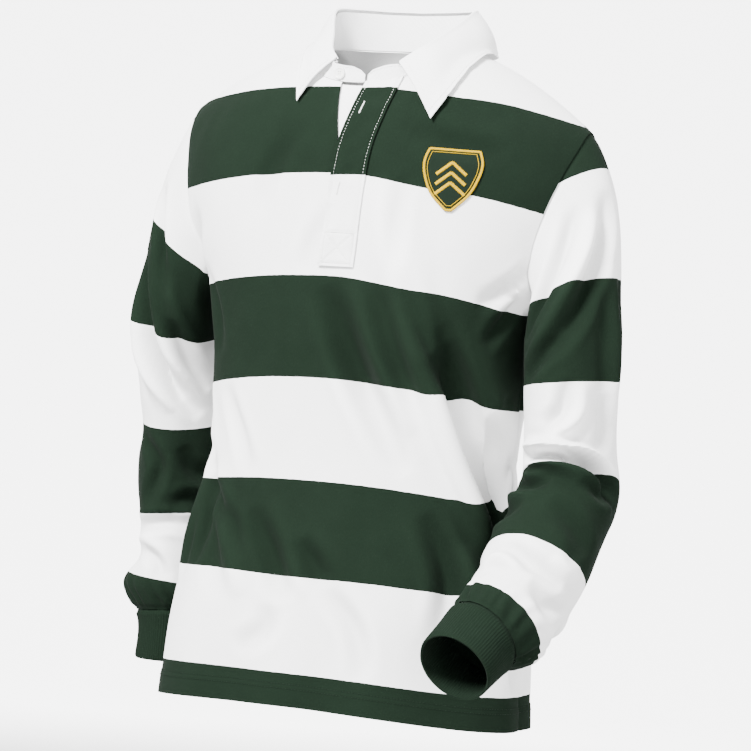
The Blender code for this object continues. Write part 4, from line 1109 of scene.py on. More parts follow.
# ---- making pieces ------------------------------------------------------------------------
def sheet_piece(name, form, thickness, loop=False, cut_out=None, flip=False):
    """A cloth piece: the form's outer points with a wall of the cloth's thickness inside them."""
    points, uv, sunk = form["point"], form["uv"], form["sunk"]
    rows, columns = points.shape[:2]
    faces, corners = [], []
    for r in range(rows - 1):
        for c in range(columns if loop else columns - 1):
            if cut_out is not None and cut_out[r, c]:
                continue
            d = (c + 1) % columns
            ring = [(r, c), (r, d), (r + 1, d), (r + 1, c)]
            wrapped = [(r, c, 0), (r, d, int(d == 0)), (r + 1, d, int(d == 0)), (r + 1, c, 0)]
            if flip:
                ring, wrapped = ring[::-1], wrapped[::-1]
            faces.append([a * columns + b for a, b in ring])
            corners.extend(wrapped)
    mesh = bpy.data.meshes.new(name)
    mesh.from_pydata([tuple(point) for point in points.reshape(-1, 3)], [], faces)
    layer = mesh.uv_layers.new(name="cloth")
    if loop:
        span = uv[:, -1, 0] + (uv[:, -1, 0] - uv[:, -2, 0])
    flat = []
    for r, c, end in corners:
        flat.extend((span[r] if end else uv[r, c, 0], uv[r, c, 1]))
    layer.data.foreach_set("uv", flat)
    # The finishes turn this depth into painted shade in hollows and, below 0, painted highlight on raised
    # cloth.
    sunken = mesh.attributes.new("sunk", "FLOAT", "POINT")
    shares = np.clip(sunk * SUNK_SCALE, -1.0, 1.0)
    sunken.data.foreach_set("value", shares.reshape(-1).astype(np.float32))
    obj = bpy.data.objects.new(name, mesh)
    bpy.context.scene.collection.objects.link(obj)
    only(obj)
    wall = obj.modifiers.new("wall", "SOLIDIFY")
    wall.thickness = thickness
    wall.offset = -1.0
    bpy.ops.object.modifier_apply(modifier=wall.name)
    bpy.ops.object.mode_set(mode="EDIT")
    bpy.ops.mesh.select_all(action="SELECT")
    bpy.ops.mesh.delete_loose()
    bpy.ops.object.mode_set(mode="OBJECT")
    bpy.ops.object.shade_smooth_by_angle(angle=math.radians(60))
    return obj


def only(obj):
    """Makes one object the only one that is selected."""
    if bpy.context.object and bpy.context.object.mode != "OBJECT":
        bpy.ops.object.mode_set(mode="OBJECT")
    bpy.ops.object.select_all(action="DESELECT")
    bpy.context.view_layer.objects.active = obj
    obj.select_set(True)


def belongs(obj, slot, material, *nodes):
    """Gives a piece its finish and its body, and hides the solids that it stands for. slot is not used."""
    obj.data.materials.clear()
    obj.data.materials.append(material)
    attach(obj, "root")
    if nodes:
        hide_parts(*nodes)
    return obj


# ---- finishes -----------------------------------------------------------------------------
class Value:
    """A number socket that takes part in expressions, each of which adds its Math node."""

    def __init__(self, finish, socket):
        self.finish, self.socket = finish, socket

    def math(self, operation, *others):
        node = self.finish.node(
            "ShaderNodeMath", {"operation": operation}, dict(enumerate((self,) + others))
        )
        return Value(self.finish, node.outputs[0])

    def turned(self, operation, other):
        node = self.finish.node("ShaderNodeMath", {"operation": operation}, {0: other, 1: self})
        return Value(self.finish, node.outputs[0])

    def __add__(self, other):
        return self.math("ADD", other)

    def __sub__(self, other):
        return self.math("SUBTRACT", other)

    def __mul__(self, other):
        return self.math("MULTIPLY", other)

    def __truediv__(self, other):
        return self.math("DIVIDE", other)

    def __mod__(self, other):
        return self.math("FLOORED_MODULO", other)

    def __gt__(self, other):
        return self.math("GREATER_THAN", other)

    def __rsub__(self, other):
        return self.turned("SUBTRACT", other)

    __radd__ = __add__
    __rmul__ = __mul__


class Finish:
    """A material and its nodes."""

    def __init__(self, name, **constants):
        self.material = bpy.data.materials.new(name)
        self.material.use_nodes = True
        self.tree = self.material.node_tree
        self.shader = self.tree.nodes["Principled BSDF"]
        for socket, value in constants.items():
            self.shader.inputs[socket.replace("_", " ")].default_value = value

    def node(self, kind, settings=None, sockets=None):
        node = self.tree.nodes.new(kind)
        for name, value in (settings or {}).items():
            setattr(node, name, value)
        for name, value in (sockets or {}).items():
            self.feed(node.inputs[name], value)
        return node

    def feed(self, socket, value):
        if isinstance(value, Value):
            value = value.socket
        if isinstance(value, bpy.types.NodeSocket):
            self.tree.links.new(value, socket)
        else:
            socket.default_value = value

    def value(self, socket):
        return Value(self, socket)

    def coordinates(self):
        return self.node("ShaderNodeTexCoord").outputs["Object"]

    def cloth_place(self):
        uv = self.node("ShaderNodeUVMap", {"uv_map": "cloth"}).outputs["UV"]
        split = self.node("ShaderNodeSeparateXYZ", {}, {0: uv})
        return uv, self.value(split.outputs["X"]), self.value(split.outputs["Y"])

    def attribute(self, name):
        node = self.node("ShaderNodeAttribute", {"attribute_name": name})
        return self.value(node.outputs["Fac"])

    def noise(self, scale, detail=3.0, vector=None, roughness=0.5):
        sockets = {"Vector": vector or self.coordinates(), "Scale": scale, "Detail": detail,
                   "Roughness": roughness}
        return self.value(self.node("ShaderNodeTexNoise", {}, sockets).outputs["Fac"])

    def stretched(self, vector, scale):
        return self.node(
            "ShaderNodeVectorMath", {"operation": "MULTIPLY"}, {0: vector, 1: scale}
        ).outputs[0]

    def mix(self, amount, low, high, blend="MIX"):
        node = self.node(
            "ShaderNodeMix", {"data_type": "RGBA", "blend_type": blend},
            {0: amount, 6: low, 7: high},
        )
        return node.outputs[2]

    def grey(self, value):
        joined = self.node("ShaderNodeCombineColor", {}, {0: value, 1: value, 2: value})
        return joined.outputs[0]

    def bump(self, height, distance, strength):
        sockets = {"Height": height, "Distance": distance, "Strength": strength}
        return self.node("ShaderNodeBump", {}, sockets).outputs["Normal"]

    def result(self, colour=None, roughness=None, normal=None):
        for name, value in (("Base Color", colour), ("Roughness", roughness), ("Normal", normal)):
            if value is not None:
                self.feed(self.shader.inputs[name], value)
        return self.material


def shade(colour, factor):
    return tuple(part * factor for part in colour[:3]) + (1.0,)


def jersey_finish(name, first_edge):
    """Heavy striped jersey: stripes lie across the cloth's own length from first_edge on."""
    settings = bpy.context.scene.rugby_shirt
    green, white = tuple(settings.green) + (1.0,), tuple(settings.white) + (1.0,)
    finish = Finish(name, Sheen_Weight=0.01, Sheen_Roughness=0.5, Specular_IOR_Level=0.02)
    uv, _, along = finish.cloth_place()
    wander = (finish.noise(160.0, 2.0) - 0.5) * 0.0009
    striped = ((along + wander - first_edge) / settings.stripe % 2.0) > 1.0
    # sunk darkens the white and the green as painted shade in creases, seams and stitched dents, and
    # lightens them as painted highlight on ridges and raised cloth, where it is below 0.
    sunk = finish.attribute("sunk")
    mottle = finish.noise(34.0, 4.0) - 0.5
    fleck = finish.noise(1.0, 2.0, finish.stretched(uv, (900.0, 420.0, 1.0))) - 0.5
    light = 0.97 + mottle * 0.05 + fleck * 0.12 - sunk * 0.09
    white_shade = finish.mix(1.0, white, finish.grey(light), "MULTIPLY")
    deep = 1.0 + mottle * 0.22 + fleck * 0.34 - sunk * 0.10
    green_shade = finish.mix(1.0, green, finish.grey(deep), "MULTIPLY")
    colour = finish.mix(striped, white_shade, green_shade)
    rows = finish.noise(1.0, 1.0, finish.stretched(uv, (1100.0, 640.0, 1.0)))
    pile = finish.noise(260.0, 3.0)
    normal = finish.bump(rows * 0.7 + pile * 0.6, 0.0004, 0.55)
    roughness = 0.90 + (pile - 0.5) * 0.10
    return finish.result(colour, roughness, normal)


def twill_finish(name):
    """Woven white twill with fine slanting lines."""
    settings = bpy.context.scene.rugby_shirt
    white = shade(settings.twill, 1.0)
    finish = Finish(name, Sheen_Weight=0.08, Sheen_Roughness=0.5, Specular_IOR_Level=0.30)
    uv, across, along = finish.cloth_place()
    slant = ((across + along) * 1150.0).math("SINE")
    yarn = finish.noise(1.0, 1.0, finish.stretched(uv, (1500.0, 900.0, 1.0)))
    # sunk darkens the twill a little as painted shade where the stand's puckers and the fall's waves go
    # in, and lightens it as painted highlight where they stand out.
    sunk = finish.attribute("sunk")
    light = 0.985 + slant * 0.010 + (yarn - 0.5) * 0.05 - sunk * 0.03
    colour = finish.mix(1.0, white, finish.grey(light), "MULTIPLY")
    normal = finish.bump(slant * 0.4 + yarn, 0.00025, 0.5)
    return finish.result(colour, 0.82 + (yarn - 0.5) * 0.1, normal)


def rib_finish(name):
    """Green rib knit, with painted shade down in its furrows."""
    settings = bpy.context.scene.rugby_shirt
    green = shade(settings.green, 0.95)
    finish = Finish(name, Sheen_Weight=0.01, Sheen_Roughness=0.5, Specular_IOR_Level=0.02)
    uv, _, along = finish.cloth_place()
    sunk = finish.attribute("sunk")
    loops = ((along * 2600.0).math("SINE") * 0.5 + 0.5) * 0.5
    fleck = finish.noise(1.0, 2.0, finish.stretched(uv, (900.0, 600.0, 1.0))) - 0.5
    # sunk darkens the green as painted shade in the furrows between the ribs.
    light = 1.08 + fleck * 0.36 - sunk * 0.42
    colour = finish.mix(1.0, green, finish.grey(light), "MULTIPLY")
    normal = finish.bump(loops + fleck, 0.0003, 0.5)
    return finish.result(colour, 0.92 + fleck * 0.06, normal)


def thread_finish(name, colour, gloss=0.55):
    """Sewing or embroidery thread, with a twist and a little gloss."""
    finish = Finish(name, Specular_IOR_Level=0.06)
    place = finish.coordinates()
    twist = finish.noise(1.0, 2.0, finish.stretched(place, (1400.0, 700.0, 2100.0)))
    light = 0.86 + twist * 0.28
    shaded = finish.mix(1.0, shade(colour, 1.0), finish.grey(light), "MULTIPLY")
    return finish.result(shaded, gloss + twist * 0.15, finish.bump(twist, 0.0002, 0.6))


def button_finish(name):
    """Pressed white button with a faint cloud in it and a smooth skin."""
    finish = Finish(name, Coat_Weight=0.35, Coat_Roughness=0.12, Specular_IOR_Level=0.5)
    cloud = finish.noise(240.0, 4.0)
    colour = finish.mix(cloud, (0.80, 0.80, 0.77, 1.0), (0.93, 0.93, 0.91, 1.0))
    return finish.result(colour, 0.30 + cloud * 0.12, finish.bump(cloud, 0.00008, 0.4))


def paper_finish(name):
    """White paper all round, with the brightest light on the wall that the shirt faces away from."""
    finish = Finish(name, Roughness=0.9, Specular_IOR_Level=0.05, Emission_Strength=1.0)
    turn = math.radians(CAMERA_TURN)
    behind = (-math.sin(turn) / BOWL_RADIUS, math.cos(turn) / BOWL_RADIUS, 0.0)
    ahead = finish.node(
        "ShaderNodeVectorMath", {"operation": "DOT_PRODUCT"}, {0: finish.coordinates(), 1: behind}
    )
    spread = (finish.value(ahead.outputs["Value"]) - GLOW_EDGE[0]) / GLOW_EDGE[1]
    spread = spread.math("MAXIMUM", 0.0).math("MINIMUM", 1.0)
    glow = GLOW[0] + spread * GLOW[1]
    finish.feed(finish.shader.inputs["Emission Color"], finish.grey(glow))
    cloud = finish.noise(1.5, 2.0)
    dark, light = ((grey, grey, grey, 1.0) for grey in PAPER_GREYS)
    colour = finish.mix(cloud, dark, light)
    return finish.result(colour, 0.9 + cloud * 0.05, None)


# ---- stitches -----------------------------------------------------------------------------
@lru_cache(maxsize=None)
def stitch_shape():
    """One stitch, lying along X, as points and faces."""
    bpy.ops.object.select_all(action="DESELECT")
    bpy.ops.mesh.primitive_uv_sphere_add(segments=6, ring_count=4, radius=0.5)
    obj = bpy.context.object
    points = np.array([vertex.co[:] for vertex in obj.data.vertices])
    faces = [list(face.vertices) for face in obj.data.polygons]
    bpy.data.objects.remove(obj)
    return points, faces


def read_at(at, lengths, line):
    """Where a line of points has run for some lengths."""
    return np.stack([np.interp(at, lengths, line[:, axis]) for axis in range(3)], axis=1)


def stitches(place, up, axes, sizes, lift):
    """A stitch at each place, lying along the axes there, as points and faces."""
    shape, faces = stitch_shape()
    points = place[:, None] + up[:, None] * lift
    for axis, (toward, size) in enumerate(zip(axes, sizes)):
        points = points + shape[None, :, axis:axis + 1] * toward[:, None] * size
    starts = range(0, len(place) * len(shape), len(shape))
    return points.reshape(-1, 3), [[i + start for i in face] for start in starts for face in faces]


def sewn(path, normals, size, pitch):
    """Stitches one after another along a path, as points and faces. size is length and width."""
    lengths = running_length(path)
    count = max(2, int(lengths[-1] / pitch))
    at = (np.arange(count) + 0.5) * lengths[-1] / count
    long, wide = size
    up = unit(read_at(at, lengths, normals))
    along = unit(read_at(at + long / 2, lengths, path) - read_at(at - long / 2, lengths, path))
    axes = (along, unit(np.cross(up, along)), up)
    return stitches(read_at(at, lengths, path), up, axes, (long, wide, wide), STITCH_LIFT)


def along_corners(corners, count):
    """Places along straight lines through corners, as two rows."""
    corners = np.array(corners)
    knots = np.arange(len(corners))
    at = np.linspace(0, len(corners) - 1, count)
    return np.interp(at, knots, corners[:, 0]), np.interp(at, knots, corners[:, 1])


def sewn_piece(name, runs):
    """One mesh from several runs of stitches."""
    points, faces, start = [], [], 0
    for run_points, run_faces in runs:
        points.extend(map(tuple, run_points))
        faces.extend([i + start for i in face] for face in run_faces)
        start += len(run_points)
    mesh = bpy.data.meshes.new(name)
    mesh.from_pydata(points, [], faces)
    obj = bpy.data.objects.new(name, mesh)
    bpy.context.scene.collection.objects.link(obj)
    only(obj)
    bpy.ops.object.shade_smooth()
    return obj


def grid_path(form, row=None, column=None, span=None):
    """Points and normals along a row or a column of a form, at a place between two of them."""
    at = row if row is not None else column
    low = int(at)
    share = at - low
    made = []
    for grid in (form["point"], form["normal"]):
        grid = grid if row is not None else np.swapaxes(grid, 0, 1)
        line = grid[low] * (1 - share) + (grid[low + 1] * share if share else 0.0)
        made.append(line if span is None else line[span])
    return made[0], unit(made[1])


# ---- settings and operators ---------------------------------------------------------------
class RugbyShirtSettings(bpy.types.PropertyGroup):
    """Sizes and colours of the shirt"""

    stripe: bpy.props.FloatProperty(
        name="Stripe", description="Depth of each stripe", default=0.1063, min=0.02, max=0.3,
        unit="LENGTH", subtype="DISTANCE",
    )
    first_stripe: bpy.props.FloatProperty(
        name="Lowest stripe", description="Depth of the green stripe at the hem",
        default=0.037, min=0.0, max=0.2, unit="LENGTH", subtype="DISTANCE",
    )
    creasing: bpy.props.FloatProperty(
        name="Creasing", description="Depth of the creases, 1 is as worn", default=1.0,
        min=0.0, max=2.0, subtype="FACTOR",
    )
    ribs: bpy.props.IntProperty(
        name="Ribs", description="Ribs round each cuff", default=84, min=20, max=120
    )
    stitch: bpy.props.FloatProperty(
        name="Stitch", description="Distance from stitch to stitch", default=0.0034,
        min=0.001, max=0.01, unit="LENGTH", subtype="DISTANCE",
    )
    green: bpy.props.FloatVectorProperty(
        name="Green", description="Colour of the dark stripes and cuffs", subtype="COLOR",
        default=(0.0054, 0.0104, 0.0064), min=0.0, max=1.0,
    )
    white: bpy.props.FloatVectorProperty(
        name="White", description="Colour of the light stripes", subtype="COLOR",
        default=(0.86, 0.86, 0.858), min=0.0, max=1.0,
    )
    twill: bpy.props.FloatVectorProperty(
        name="Collar white", description="Colour of the collar", subtype="COLOR",
        default=(0.88, 0.88, 0.88), min=0.0, max=1.0,
    )
    yellow: bpy.props.FloatVectorProperty(
        name="Badge yellow", description="Colour of the badge's border", subtype="COLOR",
        default=(0.42, 0.265, 0.0), min=0.0, max=1.0,
    )


class ShirtOperator:
    bl_options = {"REGISTER", "UNDO"}


class RUGBYSHIRT_OT_body(ShirtOperator, bpy.types.Operator):
    """Front and back panels of striped jersey"""

    bl_idname = "rugbyshirt.body"
    bl_label = "Body"

    def execute(self, context):
        settings = context.scene.rugby_shirt
        front, back = body_forms()
        finish = jersey_finish("jersey_body", settings.first_stripe)
        columns = front["point"].shape[1]
        cut = np.zeros((front["point"].shape[0] - 1, columns - 1), bool)
        first = NECK_FINE + SHOULDER_FINE
        over = front["point"][:-1, first: first + SLIT_FINE, 2] > SLIT_BOTTOM
        cut[:, first: first + SLIT_FINE] = over
        piece = sheet_piece("front_panel", front, JERSEY, cut_out=cut)
        belongs(piece, "jersey", finish, "front")
        piece = sheet_piece("back_panel", back, JERSEY, flip=True)
        belongs(piece, "jersey", finish, "back")
        return {"FINISHED"}


class RUGBYSHIRT_OT_sleeves(ShirtOperator, bpy.types.Operator):
    """Both sleeves, gathered into their cuffs"""

    bl_idname = "rugbyshirt.sleeves"
    bl_label = "Sleeves"

    def execute(self, context):
        finish = jersey_finish("jersey_sleeves", 0.0)
        for side_name in ("left", "right"):
            form = sleeve_form(side_name)
            name, flip = "sleeve_%s_cloth" % side_name, form["side"] > 0
            piece = sheet_piece(name, form, JERSEY, loop=True, flip=flip)
            belongs(piece, "jersey", finish, "sleeve_" + side_name)
        return {"FINISHED"}


class RUGBYSHIRT_OT_cuffs(ShirtOperator, bpy.types.Operator):
    """Both cuffs of knitted rib"""

    bl_idname = "rugbyshirt.cuffs"
    bl_label = "Cuffs"

    def execute(self, context):
        finish = rib_finish("rib_knit")
        for side_name in ("left", "right"):
            form = cuff_form(side_name)
            name, flip = "cuff_%s_rib" % side_name, form["side"] > 0
            piece = sheet_piece(name, form, RIB, loop=True, flip=flip)
            belongs(piece, "rib", finish, "cuff_" + side_name)
        return {"FINISHED"}


class RUGBYSHIRT_OT_collar(ShirtOperator, bpy.types.Operator):
    """The collar's stand and fall in white twill"""

    bl_idname = "rugbyshirt.collar"
    bl_label = "Collar"

    def execute(self, context):
        finish = twill_finish("twill_white")
        piece = sheet_piece("stand_twill", stand_form(), TWILL, flip=True)
        belongs(piece, "twill", finish, "collar_stand")
        piece = sheet_piece("fall_twill", fall_form(), TWILL)
        belongs(piece, "twill", finish, "collar_fall")
        return {"FINISHED"}


class RUGBYSHIRT_OT_plackets(ShirtOperator, bpy.types.Operator):
    """The striped top placket and the white one under it"""

    bl_idname = "rugbyshirt.plackets"
    bl_label = "Plackets"

    def execute(self, context):
        settings = context.scene.rugby_shirt
        top, under = placket_forms()
        piece = sheet_piece("placket_top_cloth", top, PLACKET_THICKNESS)
        finish = jersey_finish("jersey_placket", settings.first_stripe)
        belongs(piece, "jersey", finish, "placket_top")
        piece = sheet_piece("placket_under_twill", under, TWILL)
        belongs(piece, "twill", bpy.data.materials["twill_white"], "placket_under")
        return {"FINISHED"}


class RUGBYSHIRT_OT_badge(ShirtOperator, bpy.types.Operator):
    """A plain embroidered shield on the chest"""

    bl_idname = "rugbyshirt.badge"
    bl_label = "Badge"

    def execute(self, context):
        settings = context.scene.rugby_shirt
        down, half = np.array(BADGE).T
        share = np.linspace(1.0, 0.0, BADGE_GRID[0])
        width = through(down, half, share)[:, None]
        x = BADGE_X + width * np.linspace(-1.0, 1.0, BADGE_GRID[1])
        height = BADGE_TOP - BADGE_HEIGHT * share[:, None] + 0.0 * x
        point, normal = over_cloth(x, height, BADGE_GAP)
        uv = np.stack([x, height], axis=-1)
        form = {"point": point, "normal": normal, "uv": uv, "sunk": 0 * x}
        field = sheet_piece("badge_field", form, BADGE_CLOTH)
        green = shade(settings.green, 0.95)
        belongs(field, "embroidery", thread_finish("thread_badge_green", green, 0.85), "badge")
        rim_x, rim_h = (
            np.concatenate([at[:, 0], at[-1, 1:-1], at[::-1, -1], at[0, -2:0:-1]])
            for at in (x, height)
        )
        centre = np.array([BADGE_X, BADGE_TOP - BADGE_HEIGHT * BADGE_CENTRE])
        runs = []
        for reach, wide in BADGE_LINES:
            path_x = centre[0] + (rim_x - centre[0]) * reach
            path_h = centre[1] + (rim_h - centre[1]) * reach
            runs.append(self.satin(path_x, path_h, wide))
        span, drop, wide = CHEVRON
        for top in CHEVRON_TOPS:
            chevron = ((-span, top - drop), (0.0, top), (span, top - drop))
            runs.append(self.satin(*self.bent(chevron), wide))
        trim = sewn_piece("badge_trim", runs)
        belongs(trim, "embroidery", thread_finish("thread_yellow", settings.yellow, 0.45))
        return {"FINISHED"}

    def bent(self, corners):
        """A line through corners on the badge."""
        x, height = along_corners(corners, CHEVRON_POINTS)
        return BADGE_X + x, BADGE_TOP + height

    def satin(self, x, height, wide):
        """Close stitches laid across a line over the badge."""
        point, normal = over_cloth(x, height, BADGE_GAP)
        lengths = running_length(point)
        at = np.arange(0.0, lengths[-1], SATIN_PITCH)
        place = read_at(at, lengths, point)
        up = unit(read_at(at, lengths, normal))
        along = unit(np.gradient(place, axis=0))
        axes = (unit(np.cross(up, along)), along, up)
        return stitches(place, up, axes, (wide,) + SATIN_SIZE, SATIN_LIFT)


class RUGBYSHIRT_OT_buttons(ShirtOperator, bpy.types.Operator):
    """Pressed buttons on the stand and the under placket, and the buttonholes"""

    bl_idname = "rugbyshirt.buttons"
    bl_label = "Buttons"

    def execute(self, context):
        finish = button_finish("button_white")
        model = self.button()
        for node in ("button_collar", "button_placket_1", "button_placket_2"):
            low, high = map(np.array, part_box(node))
            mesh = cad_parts[node].data
            centre = (low + high) / 2
            points = np.array([vertex.co[:] for vertex in mesh.vertices])
            normal = np.linalg.svd(points - points.mean(axis=0), full_matrices=False)[2][2]
            normal = Vector(normal if normal[1] < 0 else -normal)
            turn = normal.to_track_quat("Z", "Y").to_matrix().to_4x4()
            copy = bpy.data.objects.new(node + "_pressed", model.data.copy())
            context.scene.collection.objects.link(copy)
            copy.data.transform(Matrix.Translation(Vector(centre)) @ turn)
            copy.data.update()
            belongs(copy, "button", finish, node)
        bpy.data.objects.remove(model)
        self.buttonholes()
        return {"FINISHED"}

    def button(self):
        """One button at the origin: a rim, a hollow and four holes."""
        radius, depth = BUTTON_SIZE
        bpy.ops.object.select_all(action="DESELECT")
        bpy.ops.mesh.primitive_cylinder_add(vertices=48, radius=radius, depth=depth)
        obj = bpy.context.object
        bpy.ops.object.mode_set(mode="EDIT")
        bpy.ops.mesh.select_mode(type="FACE")
        bpy.ops.mesh.select_all(action="DESELECT")
        bpy.ops.object.mode_set(mode="OBJECT")
        for face in obj.data.polygons:
            face.select = face.normal.z > 0.9
        bpy.ops.object.mode_set(mode="EDIT")
        bpy.ops.mesh.inset(thickness=BUTTON_RIM, depth=0.0)
        bpy.ops.mesh.inset(thickness=BUTTON_HOLLOW, depth=-BUTTON_HOLLOW)
        bpy.ops.object.mode_set(mode="OBJECT")
        radius, depth, off = BUTTON_HOLE
        for dx, dy in ((1, 1), (1, -1), (-1, 1), (-1, -1)):
            bpy.ops.object.select_all(action="DESELECT")
            bpy.ops.mesh.primitive_cylinder_add(
                vertices=16, radius=radius, depth=depth, location=(dx * off, dy * off, 0.0)
            )
            cutter = bpy.context.object
            only(obj)
            hole = obj.modifiers.new("hole", "BOOLEAN")
            hole.operation, hole.object = "DIFFERENCE", cutter
            bpy.ops.object.modifier_apply(modifier=hole.name)
            bpy.data.objects.remove(cutter)
        only(obj)
        rounding = obj.modifiers.new("rounding", "BEVEL")
        rounding.width, rounding.segments = BUTTON_EDGE, 2
        rounding.limit_method, rounding.angle_limit = "ANGLE", math.radians(40)
        bpy.ops.object.modifier_apply(modifier=rounding.name)
        bpy.ops.object.shade_smooth_by_angle(angle=math.radians(35))
        return obj

    def buttonholes(self):
        """Satin bars along both sides of each slot of the top placket."""
        out = PLACKET_THICKNESS + BUTTONHOLE_OUT
        runs = []
        for height in BUTTONHOLE_HEIGHTS:
            x = float(free_edge(np.array(height))) + BUTTONHOLE_IN
            for offset in (-BUTTONHOLE_SLOT, BUTTONHOLE_SLOT):
                path_h = np.linspace(height - BUTTONHOLE_HALF, height + BUTTONHOLE_HALF, 12)
                lean = (path_h - height) * BUTTONHOLE_LEAN
                point, normal = over_cloth(x + offset + lean, path_h, out)
                runs.append(sewn(point, normal, BUTTONHOLE_STITCH, BUTTONHOLE_PITCH))
        piece = sewn_piece("buttonhole_bars", runs)
        belongs(piece, "embroidery", thread_finish("thread_white", (0.86, 0.86, 0.84)))


class RUGBYSHIRT_OT_stitching(ShirtOperator, bpy.types.Operator):
    """Rows of stitches along the hem, the top placket and the collar"""

    bl_idname = "rugbyshirt.stitching"
    bl_label = "Stitching"

    def execute(self, context):
        settings = context.scene.rugby_shirt
        pitch = settings.stitch
        size = (pitch * STITCH_SHARE, STITCH_WIDE)
        front, back = body_forms()
        per_metre = LOW_FINE / (UNDERARM_HEIGHT - HEM_HEIGHT)
        green = []
        for panel in (front, back):
            for over_hem in HEM_STITCHES:
                point, normal = grid_path(panel, row=over_hem * per_metre)
                green.append(sewn(point, normal, size, pitch))
        piece = sewn_piece("hem_stitches", green)
        finish = thread_finish("thread_green", shade(settings.green, 1.2))
        belongs(piece, "embroidery", finish)
        white = []
        top, _ = placket_forms()
        fine = (pitch * FINE_STITCH[0], FINE_STITCH[1])
        for column_at in PLACKET_STITCHES:
            white.append(sewn(*grid_path(top, column=column_at), fine, pitch))
        white.append(self.box(pitch))
        fall = fall_form()
        last = len(fall["point"]) - 1
        from_edge, from_right, from_left = FALL_STITCHES
        white.append(sewn(*grid_path(fall, row=last - from_edge), size, pitch))
        down = slice(fall["rolled"] + 2, last - 1)
        for at in (from_right, fall["point"].shape[1] - from_left):
            white.append(sewn(*grid_path(fall, column=at, span=down), size, pitch))
        stand = stand_form()
        low, high = STAND_STITCHES
        white.append(sewn(*grid_path(stand, row=low), size, pitch))
        right_end, left_end = STAND_STITCH_ENDS
        for span in (slice(0, right_end), slice(-left_end, None)):
            white.append(sewn(*grid_path(stand, row=high, span=span), size, pitch))
        piece = sewn_piece("white_stitches", white)
        belongs(piece, "embroidery", bpy.data.materials["thread_white"])
        return {"FINISHED"}

    def box(self, pitch):
        """The stitched box with a cross at the foot of the placket."""
        low, high = BOX_STITCH
        corners = ((low, low), (high, low), (high, high), (low, high), (low, low),
                   (high, high), (low, high), (high, low))
        x, up = along_corners(corners, BOX_POINTS)
        height = PLACKET_BOTTOM + up
        gap = PLACKET_GAPS[0] * (1 - x / PLACKET_WIDTH) + PLACKET_GAPS[1] * x / PLACKET_WIDTH
        point, normal = over_cloth(free_edge(height) + x, height, PLACKET_THICKNESS + gap)
        return sewn(point, normal, (pitch * STITCH_SHARE, BOX_STITCH_WIDE), pitch)


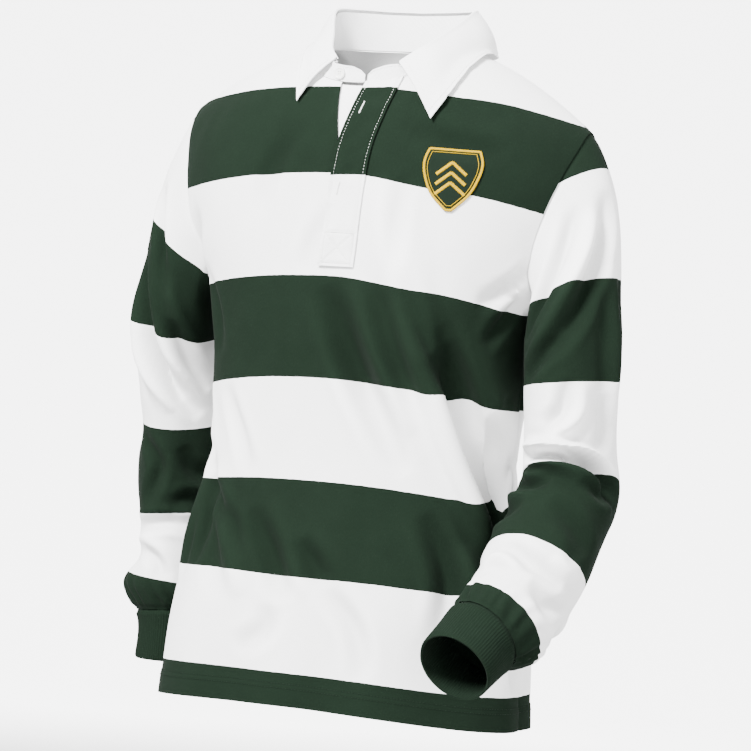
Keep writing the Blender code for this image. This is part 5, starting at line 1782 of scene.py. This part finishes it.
class RUGBYSHIRT_OT_studio(ShirtOperator, bpy.types.Operator):
    """Paper sweep, soft lights and the camera"""

    bl_idname = "rugbyshirt.studio"
    bl_label = "Studio"

    def execute(self, context):
        bpy.ops.object.select_all(action="DESELECT")
        bpy.ops.mesh.primitive_uv_sphere_add(segments=96, ring_count=64, radius=BOWL_RADIUS)
        bowl = context.object
        bowl.name = "studio_bowl"
        for vertex in bowl.data.vertices:
            over = vertex.co.z - FLOOR_HEIGHT
            soft = FLOOR_SOFTNESS * math.log1p(math.exp(-abs(over) / FLOOR_SOFTNESS))
            vertex.co.z = FLOOR_HEIGHT + max(over, 0.0) + soft
        bpy.ops.object.mode_set(mode="EDIT")
        bpy.ops.mesh.select_all(action="SELECT")
        bpy.ops.mesh.flip_normals()
        bpy.ops.object.mode_set(mode="OBJECT")
        bpy.ops.object.shade_smooth()
        bowl.data.materials.append(paper_finish("studio_paper"))
        for light in LIGHTS:
            self.light(*light)
        world = bpy.data.worlds.new("studio_air")
        context.scene.world = world
        world.use_nodes = True
        air = world.node_tree.nodes["Background"]
        air.inputs["Color"].default_value = (1.0, 1.0, 1.0, 1.0)
        air.inputs["Strength"].default_value = AIR_LIGHT
        self.camera(context)
        return {"FINISHED"}

    def light(self, name, place, size, power):
        lamp = bpy.data.lights.new(name, "AREA")
        lamp.size, lamp.energy = size, power
        obj = bpy.data.objects.new(name, lamp)
        bpy.context.scene.collection.objects.link(obj)
        obj.location = place
        aim = Vector((0.0, 0.0, MIDDLE_HEIGHT)) - Vector(place)
        obj.rotation_euler = aim.to_track_quat("-Z", "Y").to_euler()

    def camera(self, context):
        lens = bpy.data.cameras.new("camera")
        lens.lens, lens.sensor_width = CAMERA_LENS, CAMERA_SENSOR
        lens.clip_end = CAMERA_FARTHEST
        obj = bpy.data.objects.new("camera", lens)
        context.scene.collection.objects.link(obj)
        turn = math.radians(CAMERA_TURN)
        right = Vector((math.cos(turn), math.sin(turn), 0.0))
        back = Vector((math.sin(turn), -math.cos(turn), 0.0)) * CAMERA_DISTANCE
        place = back + Vector((0.0, 0.0, MIDDLE_HEIGHT)) + right * CAMERA_SHIFT
        obj.matrix_world = (
            Matrix.Translation(place) @ Matrix.Rotation(turn, 4, "Z")
            @ Matrix.Rotation(math.pi / 2, 4, "X")
            @ Matrix.Rotation(math.radians(CAMERA_ROLL), 4, "Z")
        )
        context.scene.camera = obj


OPERATORS = (
    RUGBYSHIRT_OT_body, RUGBYSHIRT_OT_sleeves, RUGBYSHIRT_OT_cuffs, RUGBYSHIRT_OT_collar,
    RUGBYSHIRT_OT_plackets, RUGBYSHIRT_OT_badge, RUGBYSHIRT_OT_buttons,
    RUGBYSHIRT_OT_stitching, RUGBYSHIRT_OT_studio,
)


class RUGBYSHIRT_PT_shirt(bpy.types.Panel):
    """Builds the shirt piece by piece"""

    bl_idname = "RUGBYSHIRT_PT_shirt"
    bl_label = "Rugby shirt"
    bl_space_type = "VIEW_3D"
    bl_region_type = "UI"
    bl_category = "Shirt"

    def draw(self, context):
        settings = context.scene.rugby_shirt
        for name in RugbyShirtSettings.__annotations__:
            self.layout.prop(settings, name)
        for operator in OPERATORS:
            self.layout.operator(operator.bl_idname)


CLASSES = (RugbyShirtSettings,) + OPERATORS + (RUGBYSHIRT_PT_shirt,)


def register():
    for cls in CLASSES:
        bpy.utils.register_class(cls)
    bpy.types.Scene.rugby_shirt = bpy.props.PointerProperty(type=RugbyShirtSettings)


def unregister():
    del bpy.types.Scene.rugby_shirt
    for cls in reversed(CLASSES):
        bpy.utils.unregister_class(cls)


def main():
    register()
    for operator in OPERATORS:
        family, name = operator.bl_idname.split(".")
        getattr(getattr(bpy.ops, family), name)()


if __name__ == "__main__":
    main()
